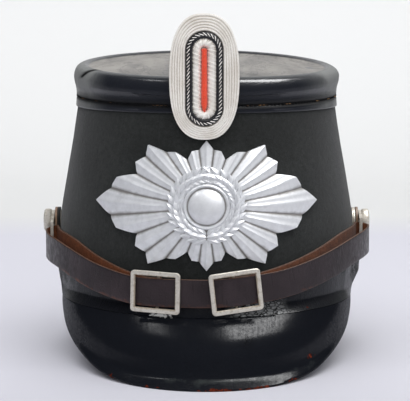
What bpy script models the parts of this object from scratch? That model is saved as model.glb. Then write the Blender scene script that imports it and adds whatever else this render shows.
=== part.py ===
"""A shako: stiff cloth-covered crown, leather top, band and peaks, chin strap, cockade and badge.

The wearer's front is towards -Y and the hat stands on the edges of its two peaks, leaning
back a little, as it does on a table. Tables are in millimetres, angles in degrees. An angle
round the hat is zero at the front and grows towards +X.
"""

import math
from collections import namedtuple

import bmesh
import bpy
from mathutils import Vector

MM = 0.001

# ---------------------------------------------------------------- driving dimensions

HAT_SHIFT_Y = 3.0 * MM          # puts the middle of the whole hat's box on the origin
GAP = 0.3                       # between pieces that touch
STEPS_AROUND = 54               # facets round the crown and its bands
PIN_SIDES = 10                  # facets round a shank or the hole for it
HOLE_OVERRUN = 4.0              # how far a drill runs past both ends of its pin
SOLVE_ROUNDS = 6                # rounds of correction when a point is found by trial

# Level lines of the crown's cloth face. height is taken on the hat's side, at y = 0, and
# slope is the rise of that level line towards the back.
CrownSection = namedtuple("CrownSection", "height half_width half_depth centre_y slope")
CROWN_SECTIONS = (
    CrownSection(30.5, 87.0, 101.6, 0.0, -0.053),     # seam with the peaks
    CrownSection(53.0, 88.3, 102.6, -0.2, -0.046),    # top of the base band
    CrownSection(66.0, 89.0, 103.0, -0.5, -0.040),    # widest, under the strap
    CrownSection(78.0, 88.8, 102.5, -0.9, -0.034),
    CrownSection(88.0, 87.7, 101.0, -1.3, -0.029),
    CrownSection(110.0, 84.0, 96.3, -2.3, -0.015),
    CrownSection(130.0, 80.4, 91.4, -3.2, -0.002),
    CrownSection(147.0, 77.8, 88.0, -3.9, 0.010),     # edge of the leather top
    CrownSection(169.5, 75.0, 84.8, -4.0, 0.027),     # top edge
)
CROWN_WALL = 2.6
CROWN_OUTER_LEVELS = (42.0, 54.0, 66.0, 78.0, 90.0, 108.0, 128.0, 148.0, 169.5)
CROWN_INNER_LEVELS = (169.5, 128.0, 90.0, 66.0)
WIDEST_LEVEL = 66.0

# The crown's lower edge, where the peaks are sewn on, the same on both sides.
EdgeHeight = namedtuple("EdgeHeight", "angle height")
BASE_EDGE = (
    EdgeHeight(0.0, 36.4), EdgeHeight(30.0, 36.5), EdgeHeight(58.0, 36.2),
    EdgeHeight(74.0, 35.0), EdgeHeight(90.0, 32.5), EdgeHeight(112.0, 29.6),
    EdgeHeight(135.0, 27.4), EdgeHeight(160.0, 25.9), EdgeHeight(180.0, 25.6),
)

# Leather top
RIM_HALF_WIDTH = 80.0
RIM_HALF_DEPTH = 90.4
TOP_CENTRE_Y = -4.0
PANEL_HEIGHT = 171.7            # at the top's centre
TOP_SLOPE = 0.027
TOP_LEATHER = 2.0
RimPoint = namedtuple("RimPoint", "inset drop")
RIM_PROFILE = (
    RimPoint(9.0, 0.0),         # edge of the sunk panel
    RimPoint(7.6, -0.7),
    RimPoint(5.2, -1.3),        # crest of the roll
    RimPoint(2.6, -0.4),
    RimPoint(0.8, 1.9),
    RimPoint(0.0, 5.0),         # widest
    RimPoint(0.3, 8.6),
)
SKIRT_EDGE_HEIGHT = 147.3       # lower edge of the skirt band, at y = 0
SKIRT_EDGE_SLOPE = -0.0276
SKIRT_STITCH_HEIGHT = 154.0
SKIRT_WAIST_HEIGHT = 158.0
SKIRT_WAIST_PROUD = 2.3
SKIRT_STITCH_PROUD = 1.7
SKIRT_BEAD_DROP = 2.2
SKIRT_BEAD_PROUD = 1.8
SKIRT_EDGE_PROUD = 1.3

# Base band, whose leather stands off the crown a little at both sides
BAND_TOP_LEVEL = 52.5
BAND_ROWS = (0.0, 0.16, 0.34, 0.65, 1.0)
BAND_LEATHER = 1.2
BAND_EAR_SPREAD = 9.0           # degrees
BAND_EAR_FOOT = 34.0
BAND_EAR_TOP = 47.0
BandEar = namedtuple("BandEar", "angle stand_off")
BAND_EARS = (
    BandEar(-93.0, 1.8),
    BandEar(92.0, 4.6),
)

# Over the visor the band's foot leans outwards, to meet the visor's slope.
BAND_LEAN = 4.6
BAND_LEAN_HEIGHT = 8.0
BAND_LEAN_POWER = 1.4
BAND_LEAN_LAST = 84.0           # degrees from the front, where it has faded out
BAND_LEAN_FADE = 34.0

# Peaks. A profile runs from the seam to the edge, in parts of the peak's reach and depth.
PeakPoint = namedtuple("PeakPoint", "outward down")
VISOR_CENTRE_PROFILE = (
    PeakPoint(0.0, 0.0), PeakPoint(0.21, 0.14), PeakPoint(0.41, 0.29), PeakPoint(0.54, 0.44),
    PeakPoint(0.62, 0.58), PeakPoint(0.67, 0.70), PeakPoint(0.72, 0.80),
    PeakPoint(0.80, 0.885), PeakPoint(1.0, 1.0),
)
VISOR_SIDE_PROFILE = (
    PeakPoint(0.0, 0.0), PeakPoint(0.16, 0.10), PeakPoint(0.34, 0.22), PeakPoint(0.48, 0.34),
    PeakPoint(0.56, 0.45), PeakPoint(0.60, 0.55), PeakPoint(0.65, 0.64),
    PeakPoint(0.76, 0.77), PeakPoint(1.0, 1.0),
)
GUARD_PROFILE = (
    PeakPoint(0.0, 0.0), PeakPoint(0.20, 0.16), PeakPoint(0.42, 0.38), PeakPoint(0.62, 0.62),
    PeakPoint(0.80, 0.83), PeakPoint(1.0, 1.0),
)
# Height of a peak's edge over the table, which its middle stretch lies on.
VISOR_EDGE = (
    EdgeHeight(0.0, 0.0), EdgeHeight(25.0, 0.0), EdgeHeight(33.0, 1.1), EdgeHeight(43.0, 3.4),
    EdgeHeight(52.0, 8.0), EdgeHeight(61.0, 13.4), EdgeHeight(70.0, 19.6),
    EdgeHeight(76.0, 25.0), EdgeHeight(82.0, 30.2),
)
GUARD_EDGE = (
    EdgeHeight(0.0, 0.0), EdgeHeight(20.0, 0.0), EdgeHeight(35.0, 3.0), EdgeHeight(50.0, 8.4),
    EdgeHeight(62.0, 14.2), EdgeHeight(72.0, 20.2), EdgeHeight(80.0, 25.6),
)
# front is 1 for the peak over the face and -1 for the one over the neck, reach runs from the
# crown's middle to the edge, and last is the angle at which the tip is cut.
Peak = namedtuple("Peak", "name front half_width reach last steps edge centre side")
PEAKS = (
    Peak("front_visor", 1, 88.4, 133.0, 81.0, 32, VISOR_EDGE,
         VISOR_CENTRE_PROFILE, VISOR_SIDE_PROFILE),
    Peak("neck_guard", -1, 88.6, 127.0, 78.0, 24, GUARD_EDGE, GUARD_PROFILE, GUARD_PROFILE),
)
PEAK_SEAM_SHARE = 0.97          # angle of a section's seam end over that of its edge end
PEAK_UNDER_INSET = 1.6          # of the under side from the upper one, inwards
PEAK_UNDER_DROP = 1.4           # and downwards, which together make its thickness
PEAK_MARGIN = 3.6               # how far a peak runs in under the crown's edge
PEAK_EDGE_FLAT = 2.2            # width of the flat edge that rests on the table
PEAK_EDGE_HEIGHT = 1.3

# Chin strap. stand_off is from the crown's widest level line to the strap's middle.
STRAP_WIDTH = 16.0
STRAP_LEATHER = 1.3
STRAP_STEP = 5.7                # degrees between sections
StrapStation = namedtuple("StrapStation", "angle height stand_off")
STRAP_OUTER_RUN = (
    StrapStation(-85.5, 63.9, 8.5),
    StrapStation(-75.0, 64.1, 8.6),
    StrapStation(-64.0, 63.9, 8.7),
    StrapStation(-54.0, 61.2, 8.5),
    StrapStation(-47.0, 58.0, 8.0),
    StrapStation(-40.0, 55.2, 7.6),
    StrapStation(-30.0, 51.5, 7.1),
    StrapStation(-24.0, 50.0, 6.9),
    StrapStation(-17.6, 49.7, 7.1),
    StrapStation(-11.0, 49.7, 6.7),
    StrapStation(-4.0, 49.5, 6.4),
    StrapStation(3.0, 49.6, 6.5),
    StrapStation(9.8, 50.8, 7.1),
    StrapStation(16.5, 52.1, 6.9),
    StrapStation(24.0, 53.5, 7.2),
    StrapStation(31.0, 55.6, 7.6),
    StrapStation(43.0, 60.0, 8.2),
    StrapStation(56.0, 64.9, 8.8),
    StrapStation(67.0, 67.2, 9.3),
    StrapStation(85.5, 67.0, 9.8),
)
STRAP_INNER_LEFT = (
    StrapStation(-85.5, 66.4, 1.4),
    StrapStation(-60.0, 65.9, 1.4),
    StrapStation(-45.0, 59.2, 1.7),
    StrapStation(-32.0, 53.4, 2.1),
    StrapStation(-23.0, 50.3, 2.1),
    StrapStation(-17.6, 49.7, 2.0),
)
STRAP_INNER_RIGHT = (
    StrapStation(85.5, 68.4, 1.4),
    StrapStation(62.0, 68.6, 1.4),
    StrapStation(47.0, 63.4, 1.7),
    StrapStation(33.0, 57.6, 2.1),
    StrapStation(18.0, 52.5, 2.1),
    StrapStation(9.8, 50.8, 2.0),
)
STRAP_BEND_STEPS = 9
STRAP_WRAP_STEPS = 6
STRAP_FOLD_BACK = 7.5           # end of the strap past the buckle's bar

# Buckles
BUCKLE_WIDTH = 28.5
BUCKLE_HEIGHT = 24.0
BUCKLE_BAR = 3.0                # width of the frame's bar, seen from the front
BUCKLE_THICKNESS = 1.9
BUCKLE_CORNER = 2.2
BUCKLE_CORNER_STEPS = 3
BUCKLE_SIDES = 8
BUCKLE_ROUND_OUT = 1.04         # corners of the frame's facets over its true half thickness
BUCKLE_ROOT_LEAN = 0.85         # slant of the centre bar's ends, where they join the frame
CENTRE_BAR_RADIUS = 0.8
CENTRE_BAR_STAND_OFF = 3.75
BUCKLE_STAND_OFF = 8.1          # middle of the frame
CENTRE_BAR_REACH = 9.6          # half height of its straight stretch
Buckle = namedtuple("Buckle", "name angle height tilt")
BUCKLES = (
    Buckle("buckle_left", -17.6, 49.9, -1.2),
    Buckle("buckle_right", 9.8, 51.4, 6.3),
)

# Side fittings, round a post that stands out of the crown on each side
POST_Y = 5.0
POST_HEIGHT = 75.7
POST_STEPS = 12
POST_HOLE = 2.0                 # radius through the crown's wall
POST_WIDER_FLANGE = 1.9         # more radius for the right post's flange
# flange is 1 for the rows of the flange against the cloth
TurnedPoint = namedtuple("TurnedPoint", "out radius flange")
POST_PROFILE = (
    TurnedPoint(-6.5, 1.6, 0), TurnedPoint(0.35, 1.6, 0), TurnedPoint(0.35, 6.0, 1),
    TurnedPoint(2.0, 6.0, 1), TurnedPoint(2.4, 5.6, 1), TurnedPoint(2.4, 2.6, 0),
    TurnedPoint(6.7, 2.6, 0), TurnedPoint(6.7, 6.6, 0), TurnedPoint(7.8, 7.1, 0),
    TurnedPoint(9.8, 6.9, 0), TurnedPoint(11.0, 5.8, 0), TurnedPoint(11.4, 3.2, 0),
)
FITTING_HOLE = 2.9              # radius of the holes that the post's neck goes through
FITTING_HOLE_SIDES = 12
FITTING_ARC_STEPS = 8           # facets in a rounded end of a tab or lug
TAB_OUT = 2.7
TAB_LEATHER = 1.5
TAB_HALF_WIDTH = 7.0
TAB_ABOVE_POST = 8.2
TAB_BELOW_POST = 12.0
LUG_OUT = 4.5
LUG_THICKNESS = 1.8
LUG_RING = 6.3
LUG_BAR = 1.9
LUG_RING_FROM = -60.0           # degrees, the stretch of the ring that is left free
LUG_RING_TO = 100.0
LUG_SLOT_WALL = 0.6             # how far the slot cuts into the ring's outline
LUG_CLEARANCE = 1.2             # above and below the strap

# Cockade, standing in front of the rim
COCKADE_X = -1.2
COCKADE_HEIGHT = 170.8
COCKADE_BACK_Y = -94.8
COCKADE_OUTER_POWER = 2.5       # roundness of its outline
COCKADE_INNER_POWER = 3.1       # and of the straighter ovals inside it
COCKADE_STEPS = 30
BRAID_HALF_WIDTH = 19.6
BRAID_HALF_HEIGHT = 35.1
BRAID_RIDGES = 3
BRAID_RIDGE_WIDTH = 2.75
BRAID_RIDGE_RISE = 0.55
BRAID_EDGE_THICKNESS = 2.6
BRAID_INNER_THICKNESS = 3.6
BRAID_INNER_LEAN = 0.1          # slant of the braid's inner edge, down to the backing
BACKING_THICKNESS = 1.6
OvalRing = namedtuple("OvalRing", "name finish outer_width outer_height width proud")
COCKADE_RINGS = (
    OvalRing("cockade_cord", "cord_black_silver", 10.8, 26.6, 3.9, 3.2),
    OvalRing("cockade_bullion", "silver_braid", 6.6, 22.4, 3.9, 3.4),
)
RING_SIDES = 6                  # facets over a ring's round back
COCKADE_BAR_HALF_WIDTH = 1.8
COCKADE_BAR_HALF_HEIGHT = 17.2
COCKADE_BAR_DROP = 0.8
COCKADE_BAR_PROUD = 3.1
COCKADE_BAR_STEPS = 16
COCKADE_BAR_SHOULDER = 0.75     # height of its square sides, as a share of the whole
COCKADE_BAR_CREST = 0.5         # inset of its flat crest, as a share of its half width
STUD_RADIUS = 1.3
STUD_HOLE = 1.7
STUD_HEIGHT = 158.0
STUD_LENGTH = 12.5

# Badge: a rayed plate with a wreath and a plain boss
BADGE_HEIGHT = 98.8
BADGE_HALF_WIDTH = 66.0
BADGE_HALF_HEIGHT = 34.9
BADGE_POWER = 2.3               # roundness of the oval that its points reach
BADGE_POINTS = 8
BADGE_RAYS = 24
BADGE_POINT_DEPTH = 0.24
BADGE_RAY_DEPTH = 0.035
BADGE_EDGE = 1.0                # thickness of the plate at its outline
BADGE_SEAT = 0.65               # clearance under its flat facets
BADGE_BACK_SHARES = (1.0, 0.83, 0.66, 0.5, 0.33, 0.17)
BadgeRing = namedtuple("BadgeRing", "part radius height ridge")
# part 0 places a ring by its radius, part 1 by its share of the way from wreath to outline
BADGE_RINGS = (
    BadgeRing(1, 1.0, BADGE_EDGE, 0.0),
    BadgeRing(1, 0.5, 2.3, 0.45),
    BadgeRing(1, 0.0, 2.8, 0.30),
    BadgeRing(0, 20.3, 4.9, 0.35),
    BadgeRing(0, 17.6, 4.6, 0.35),
    BadgeRing(0, 15.0, 2.6, 0.0),
    BadgeRing(0, 11.8, 3.4, 0.0),
    BadgeRing(0, 9.0, 5.3, 0.0),
    BadgeRing(0, 4.5, 6.6, 0.0),
)
BADGE_WREATH_RADIUS = 23.6
BADGE_BOSS_HEIGHT = 7.0
BADGE_POST_X = 30.0
BADGE_POST_RADIUS = 1.3
BADGE_POST_HOLE = 1.7
BADGE_POST_LENGTH = 7.5


# ---------------------------------------------------------------- materials

Finish = namedtuple("Finish", "colour roughness metallic")
FINISHES = {
    "felt_cloth": Finish((0.028, 0.031, 0.029), 0.95, 0.0),
    "black_leather": Finish((0.010, 0.011, 0.013), 0.28, 0.0),
    "peak_leather": Finish((0.009, 0.010, 0.012), 0.20, 0.0),
    "brown_leather": Finish((0.050, 0.028, 0.026), 0.42, 0.0),
    "buckle_metal": Finish((0.47, 0.44, 0.40), 0.38, 1.0),
    "post_metal": Finish((0.52, 0.50, 0.46), 0.40, 1.0),
    "silver_braid": Finish((0.62, 0.58, 0.54), 0.50, 0.6),
    "cord_black_silver": Finish((0.08, 0.08, 0.09), 0.50, 0.3),
    "red_cord": Finish((0.75, 0.06, 0.03), 0.60, 0.0),
    "badge_metal": Finish((0.68, 0.69, 0.71), 0.42, 1.0),
}


def finish_material(name):
    """One Principled material for each finish, shared by the pieces that have it."""
    material = bpy.data.materials.get(name)
    if material is None:
        finish = FINISHES[name]
        material = bpy.data.materials.new(name)
        material.use_nodes = True
        shader = material.node_tree.nodes["Principled BSDF"]
        shader.inputs["Base Color"].default_value = (*finish.colour, 1.0)
        shader.inputs["Roughness"].default_value = finish.roughness
        shader.inputs["Metallic"].default_value = finish.metallic
    return material


# ---------------------------------------------------------------- mesh helpers

def finish_object(name, mesh_builder, finish, smooth_angle=40.0):
    """Turn a bmesh in millimetres into a named object of the hat."""
    bmesh.ops.recalc_face_normals(mesh_builder, faces=mesh_builder.faces)
    bmesh.ops.scale(mesh_builder, vec=(MM, MM, MM), verts=mesh_builder.verts)
    mesh = bpy.data.meshes.new(name)
    mesh_builder.to_mesh(mesh)
    mesh_builder.free()
    mesh.shade_smooth()
    mesh.set_sharp_from_angle(angle=math.radians(smooth_angle))
    mesh.materials.append(finish_material(finish))
    piece = bpy.data.objects.new(name, mesh)
    piece.location.y = HAT_SHIFT_Y
    bpy.context.scene.collection.objects.link(piece)
    return piece


def loft(sections, ring_closed=True, sweep_closed=False, cap_start=False, cap_end=False):
    """Join rows of points, all of one length, into a skin."""
    shape = bmesh.new()
    rows = [[shape.verts.new(point) for point in section] for section in sections]
    pairs = list(zip(rows, rows[1:]))
    if sweep_closed:
        pairs.append((rows[-1], rows[0]))
    count = len(rows[0])
    spans = count if ring_closed else count - 1
    for row, following in pairs:
        for i in range(spans):
            j = (i + 1) % count
            shape.faces.new((row[i], row[j], following[j], following[i]))
    if cap_start:
        shape.faces.new(rows[0])
    if cap_end:
        shape.faces.new(rows[-1])
    return shape


def boolean(piece, cutters, operation):
    """Cut the cutters out of a piece, or join them to it."""
    for cutter in cutters:
        cutter.hide_render = True
        cutter.display_type = "WIRE"
        modifier = piece.modifiers.new(cutter.name, "BOOLEAN")
        modifier.operation = operation
        modifier.solver = "EXACT"
        modifier.object = cutter


def frame_for(direction):
    """Two axes square to a direction, the second as upright as it can be."""
    direction = direction.normalized()
    side = direction.cross(Vector((0.0, 0.0, 1.0)))
    if side.length < 1e-6:
        side = Vector((1.0, 0.0, 0.0))
    side.normalize()
    return side, side.cross(direction).normalized()


def rod(name, start, end, radius):
    """A plain round pin between two points."""
    side, up = frame_for(end - start)
    sections = []
    for centre in (start, end):
        ring = []
        for i in range(PIN_SIDES):
            turn = 2.0 * math.pi * i / PIN_SIDES
            ring.append(centre + radius * (side * math.cos(turn) + up * math.sin(turn)))
        sections.append(ring)
    return finish_object(name, loft(sections, cap_start=True, cap_end=True), "post_metal")


# ---------------------------------------------------------------- tables read smoothly

def read_smooth(table, key, value):
    """Read every column of a table at a value of one column, on a smooth curve."""
    kind = type(table[0])
    keys = [getattr(row, key) for row in table]
    value = min(max(value, keys[0]), keys[-1])
    i = 0
    while i < len(keys) - 2 and value > keys[i + 1]:
        i += 1
    span = keys[i + 1] - keys[i]
    part = (value - keys[i]) / span
    before = max(i - 1, 0)
    after = min(i + 2, len(keys) - 1)
    columns = []
    for column in kind._fields:
        low = getattr(table[i], column)
        high = getattr(table[i + 1], column)
        rise_low = (high - getattr(table[before], column)) / (keys[i + 1] - keys[before])
        rise_high = (getattr(table[after], column) - low) / (keys[after] - keys[i])
        square, cube = part * part, part ** 3
        columns.append(
            (2 * cube - 3 * square + 1) * low + (cube - 2 * square + part) * span * rise_low
            + (3 * square - 2 * cube) * high + (cube - square) * span * rise_high)
    return kind(*columns)


def smooth_step(value):
    value = min(max(value, 0.0), 1.0)
    return value * value * (3.0 - 2.0 * value)


# ---------------------------------------------------------------- the crown's surface

def level_point(angle, level, stand_off=0.0):
    """A point on one of the crown's level lines, pushed out from the cloth."""
    row = read_smooth(CROWN_SECTIONS, "height", level)
    turn = math.radians(angle)
    x = (row.half_width + stand_off) * math.sin(turn)
    y = row.centre_y - (row.half_depth + stand_off) * math.cos(turn)
    return Vector((x, y, row.height + row.slope * y))


def crown_point(angle, z, stand_off=0.0):
    """A point of the crown's face at a true height."""
    level = z
    point = level_point(angle, level, stand_off)
    for _ in range(SOLVE_ROUNDS):
        level += z - point.z
        point = level_point(angle, level, stand_off)
    return Vector((point.x, point.y, z))


def angles_around():
    return [360.0 * i / STEPS_AROUND for i in range(STEPS_AROUND)]


def from_front(angle):
    """Degrees from the front, to either side."""
    return abs((angle + 180.0) % 360.0 - 180.0)


def base_edge_point(angle, stand_off=0.0):
    """A point of the crown's lower edge."""
    height = read_smooth(BASE_EDGE, "angle", from_front(angle)).height
    return crown_point(angle, height, stand_off)


def make_crown_body():
    sections = []
    for angle in angles_around():
        section = [base_edge_point(angle)]
        section += [level_point(angle, level) for level in CROWN_OUTER_LEVELS]
        section += [level_point(angle, level, -CROWN_WALL) for level in CROWN_INNER_LEVELS]
        section.append(base_edge_point(angle, -CROWN_WALL))
        sections.append(section)
    body = finish_object("crown_body", loft(sections, sweep_closed=True), "felt_cloth")
    holes = [wall_hole("crown_hole_" + side, *post_axis(sign), POST_HOLE)
             for side, sign in (("left", -1), ("right", 1))]
    for side, sign in (("left", -1), ("right", 1)):
        holes.append(wall_hole("badge_hole_" + side, *badge_post_axis(sign), BADGE_POST_HOLE))
    holes.append(wall_hole("cockade_hole", *stud_axis(), STUD_HOLE))
    boolean(body, holes, "DIFFERENCE")


def wall_hole(name, start, end, radius):
    """A drill for a hole through the crown, running past both ends of its pin."""
    over = (end - start).normalized() * HOLE_OVERRUN
    return rod(name, start - over, end + over, radius)


# ---------------------------------------------------------------- leather top and band

def top_height(y):
    return PANEL_HEIGHT + TOP_SLOPE * (y - TOP_CENTRE_Y)


def rim_point(angle, inset, drop):
    turn = math.radians(angle)
    x = (RIM_HALF_WIDTH - inset) * math.sin(turn)
    y = TOP_CENTRE_Y - (RIM_HALF_DEPTH - inset) * math.cos(turn)
    return Vector((x, y, top_height(y) - drop))


def skirt_edge_height(angle):
    y = crown_point(angle, SKIRT_EDGE_HEIGHT).y
    return SKIRT_EDGE_HEIGHT + SKIRT_EDGE_SLOPE * y


def make_crown_top():
    sections = []
    for angle in angles_around():
        edge = skirt_edge_height(angle)
        section = [rim_point(angle, row.inset, row.drop) for row in RIM_PROFILE]
        section.append(crown_point(angle, SKIRT_WAIST_HEIGHT, SKIRT_WAIST_PROUD))
        section.append(crown_point(angle, SKIRT_STITCH_HEIGHT, SKIRT_STITCH_PROUD))
        section.append(crown_point(angle, SKIRT_STITCH_HEIGHT - SKIRT_BEAD_DROP,
                                   SKIRT_BEAD_PROUD))
        section.append(crown_point(angle, edge, SKIRT_EDGE_PROUD))
        section.append(crown_point(angle, edge, GAP))
        section.append(crown_point(angle, SKIRT_WAIST_HEIGHT, GAP))
        corner = level_point(angle, CROWN_SECTIONS[-1].height, GAP)
        section.append(Vector((corner.x, corner.y, top_height(corner.y) - TOP_LEATHER)))
        sections.append(section)
    shape = loft(sections, ring_closed=False, sweep_closed=True)
    shape.verts.ensure_lookup_table()
    size = len(sections[0])
    for place in (0, size - 1):
        shape.faces.new([shape.verts[i * size + place] for i in range(len(sections))])
    top = finish_object("crown_top", shape, "black_leather")
    boolean(top, [wall_hole("top_hole", *stud_axis(), STUD_HOLE)], "DIFFERENCE")


def band_stand_off(angle, height):
    """How far the base band stands off the crown, at its sides and over the visor."""
    fade = smooth_step((BAND_LEAN_LAST - from_front(angle)) / BAND_LEAN_FADE)
    above = (height - base_edge_point(angle).z) / BAND_LEAN_HEIGHT
    lift = BAND_LEAN * fade * max(1.0 - above, 0.0) ** BAND_LEAN_POWER
    climb = smooth_step((height - BAND_EAR_FOOT) / (BAND_EAR_TOP - BAND_EAR_FOOT))
    for ear in BAND_EARS:
        away = (angle - ear.angle + 180.0) % 360.0 - 180.0
        lift += ear.stand_off * climb * math.exp(-(away / BAND_EAR_SPREAD) ** 2)
    return lift


def make_base_band():
    sections = []
    for angle in angles_around():
        low = base_edge_point(angle).z
        high = level_point(angle, BAND_TOP_LEVEL).z
        heights = [low + (high - low) * share for share in BAND_ROWS]
        section = [crown_point(angle, z, GAP + BAND_LEATHER + band_stand_off(angle, z))
                   for z in heights]
        section += [crown_point(angle, z, GAP + band_stand_off(angle, z))
                    for z in reversed(heights)]
        sections.append(section)
    finish_object("base_band", loft(sections, sweep_closed=True), "black_leather")


# ---------------------------------------------------------------- peaks

def peak_section(peak, part):
    """The closed outline of a peak at part of the way, -1 to 1, from tip to tip."""
    angle = peak.last * part
    turn = math.radians(angle)
    centre = 0.0 if peak.front > 0 else 180.0
    seam_angle = centre + peak.front * angle * PEAK_SEAM_SHARE
    foot = base_edge_point(seam_angle)
    seam = crown_point(seam_angle, foot.z,
                       GAP + BAND_LEATHER + band_stand_off(seam_angle, foot.z))
    seam.z -= GAP
    edge_x = peak.half_width * math.sin(turn)
    edge_y = -peak.front * peak.reach * math.cos(turn)
    edge_z = max(read_smooth(peak.edge, "angle", abs(angle)).height, 0.0)
    outward = Vector((edge_x - seam.x, edge_y - seam.y, 0.0))
    reach, depth = outward.length, seam.z - edge_z - PEAK_EDGE_HEIGHT
    outward.normalize()
    share = part * part
    top = []
    for middle, side in zip(peak.centre, peak.side):
        out = middle.outward + (side.outward - middle.outward) * share
        down = middle.down + (side.down - middle.down) * share
        top.append((out * reach, seam.z - down * depth))
    under = [(out - PEAK_UNDER_INSET, z - PEAK_UNDER_DROP) for out, z in reversed(top[:-1])]
    flat = [(reach - GAP, edge_z), (reach - PEAK_EDGE_FLAT, edge_z)]
    margin = [(-PEAK_MARGIN, seam.z - PEAK_UNDER_DROP), (-PEAK_MARGIN, seam.z)]
    outline = top + flat + under + margin
    return [Vector((seam.x, seam.y, 0.0)) + outward * out + Vector((0.0, 0.0, z))
            for out, z in outline]


def make_peak(peak):
    sections = [peak_section(peak, -1.0 + 2.0 * i / peak.steps) for i in range(peak.steps + 1)]
    finish_object(peak.name, loft(sections, cap_start=True, cap_end=True), "peak_leather")


# ---------------------------------------------------------------- chin strap and buckles

def strap_point(angle, z, stand_off):
    """A point out from the crown's widest level line."""
    row = read_smooth(CROWN_SECTIONS, "height", WIDEST_LEVEL)
    turn = math.radians(angle)
    x = (row.half_width + stand_off) * math.sin(turn)
    y = row.centre_y - (row.half_depth + stand_off) * math.cos(turn)
    return Vector((x, y, z))


def outward_normal(angle):
    row = read_smooth(CROWN_SECTIONS, "height", WIDEST_LEVEL)
    turn = math.radians(angle)
    normal = Vector((math.sin(turn) / row.half_width, -math.cos(turn) / row.half_depth, 0.0))
    return normal.normalized()


def run_points(table):
    """Sections of the strap along one of its tables, evenly spaced in angle."""
    first, last = table[0].angle, table[-1].angle
    count = round(abs(last - first) / STRAP_STEP)
    ordered = table if last > first else tuple(reversed(table))
    points = []
    for i in range(count + 1):
        row = read_smooth(ordered, "angle", first + (last - first) * i / count)
        points.append(strap_point(row.angle, row.height, row.stand_off))
    return points


def turn_back(start, end, away, steps):
    """Points of a half round bend from one face of the strap to the other."""
    centre = (start + end) / 2.0
    arm = start - centre
    reach = away.normalized() * arm.length
    points = []
    for i in range(1, steps):
        turn = math.pi * i / steps
        points.append(centre + arm * math.cos(turn) + reach * math.sin(turn))
    return points


def side_bend(outer, inner):
    """The strap's way round the lug's bar, from its outer layer to its inner one."""
    return turn_back(outer, inner, Vector((0.0, 1.0, 0.0)), STRAP_BEND_STEPS)


def lug_bar_y(outer, inner):
    """Middle of the lug's front bar, which the strap's bend pulls against."""
    bend_back = (outer.y + inner.y) / 2.0 + (outer - inner).length / 2.0
    return bend_back - STRAP_LEATHER / 2.0 - 2.5 * GAP - LUG_BAR / 2.0


def buckle_wrap(buckle, sign):
    """The strap's end, from its fold-back in front of the buckle's bar to behind it."""
    _, along, _, normal = buckle_axes(buckle)
    along = along * -sign
    height = read_smooth(STRAP_OUTER_RUN, "angle", buckle.angle).height
    bar = strap_point(buckle.angle, height, BUCKLE_STAND_OFF)
    bar -= normal * (BUCKLE_STAND_OFF - CENTRE_BAR_STAND_OFF)
    radius = CENTRE_BAR_RADIUS + GAP + STRAP_LEATHER / 2.0
    front, back = bar + normal * radius, bar - normal * radius
    end = front - along * STRAP_FOLD_BACK
    middle = front - along * STRAP_FOLD_BACK * 0.5
    return [end, middle, front] + turn_back(front, back, along, STRAP_WRAP_STEPS) + [back]


def strap_route():
    """The strap's middle line, from the left buckle's bar round to the right one's.

    It comes in three stretches, each with the direction that the strap's width follows.
    """
    left, right = BUCKLES
    inner_left = run_points(STRAP_INNER_LEFT)
    inner_right = run_points(STRAP_INNER_RIGHT)
    outer = run_points(STRAP_OUTER_RUN)
    round_the_hat = list(reversed(inner_left[:-1]))
    round_the_hat += list(reversed(side_bend(outer[0], inner_left[0])))
    round_the_hat += outer
    round_the_hat += side_bend(outer[-1], inner_right[0])
    round_the_hat += inner_right[:-1]
    return ((buckle_wrap(left, -1), buckle_axes(left)[2]),
            (round_the_hat, Vector((0.0, 0.0, 1.0))),
            (list(reversed(buckle_wrap(right, 1))), buckle_axes(right)[2]))


def make_chin_strap():
    """The strap's cross-sections, square to its middle line, joined into one strip."""
    places = [(centre, up) for points, up in strap_route() for centre in points]
    sections = []
    for i, (centre, up) in enumerate(places):
        before = places[max(i - 1, 0)][0]
        after = places[min(i + 1, len(places) - 1)][0]
        along = (after - before).normalized()
        normal = along.cross(up).normalized()
        out = normal * STRAP_LEATHER / 2.0
        rise = normal.cross(along).normalized() * STRAP_WIDTH / 2.0
        sections.append([centre - out - rise, centre + out - rise,
                         centre + out + rise, centre - out + rise])
    shape = loft(sections, cap_start=True, cap_end=True)
    finish_object("chin_strap", shape, "brown_leather")


def buckle_axes(buckle):
    """Centre of the frame, and its axes along the strap, across it and outwards."""
    normal = outward_normal(buckle.angle)
    level = Vector((-normal.y, normal.x, 0.0))
    tilt = math.radians(buckle.tilt)
    along = level * math.cos(tilt) + Vector((0.0, 0.0, 1.0)) * math.sin(tilt)
    across = normal.cross(along).normalized()
    centre = strap_point(buckle.angle, buckle.height, BUCKLE_STAND_OFF)
    return centre, along, across, normal


def rounded_rectangle(half_width, half_height, corner, corner_steps):
    """Points with their outward directions, once round."""
    outline = []
    corners = ((1, 1, 0.0), (-1, 1, 90.0), (-1, -1, 180.0), (1, -1, 270.0))
    for sign_x, sign_y, first in corners:
        for i in range(corner_steps + 1):
            turn = math.radians(first + 90.0 * i / corner_steps)
            direction = (math.cos(turn), math.sin(turn))
            outline.append((sign_x * (half_width - corner) + corner * direction[0],
                            sign_y * (half_height - corner) + corner * direction[1],
                            direction))
    return outline


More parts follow.
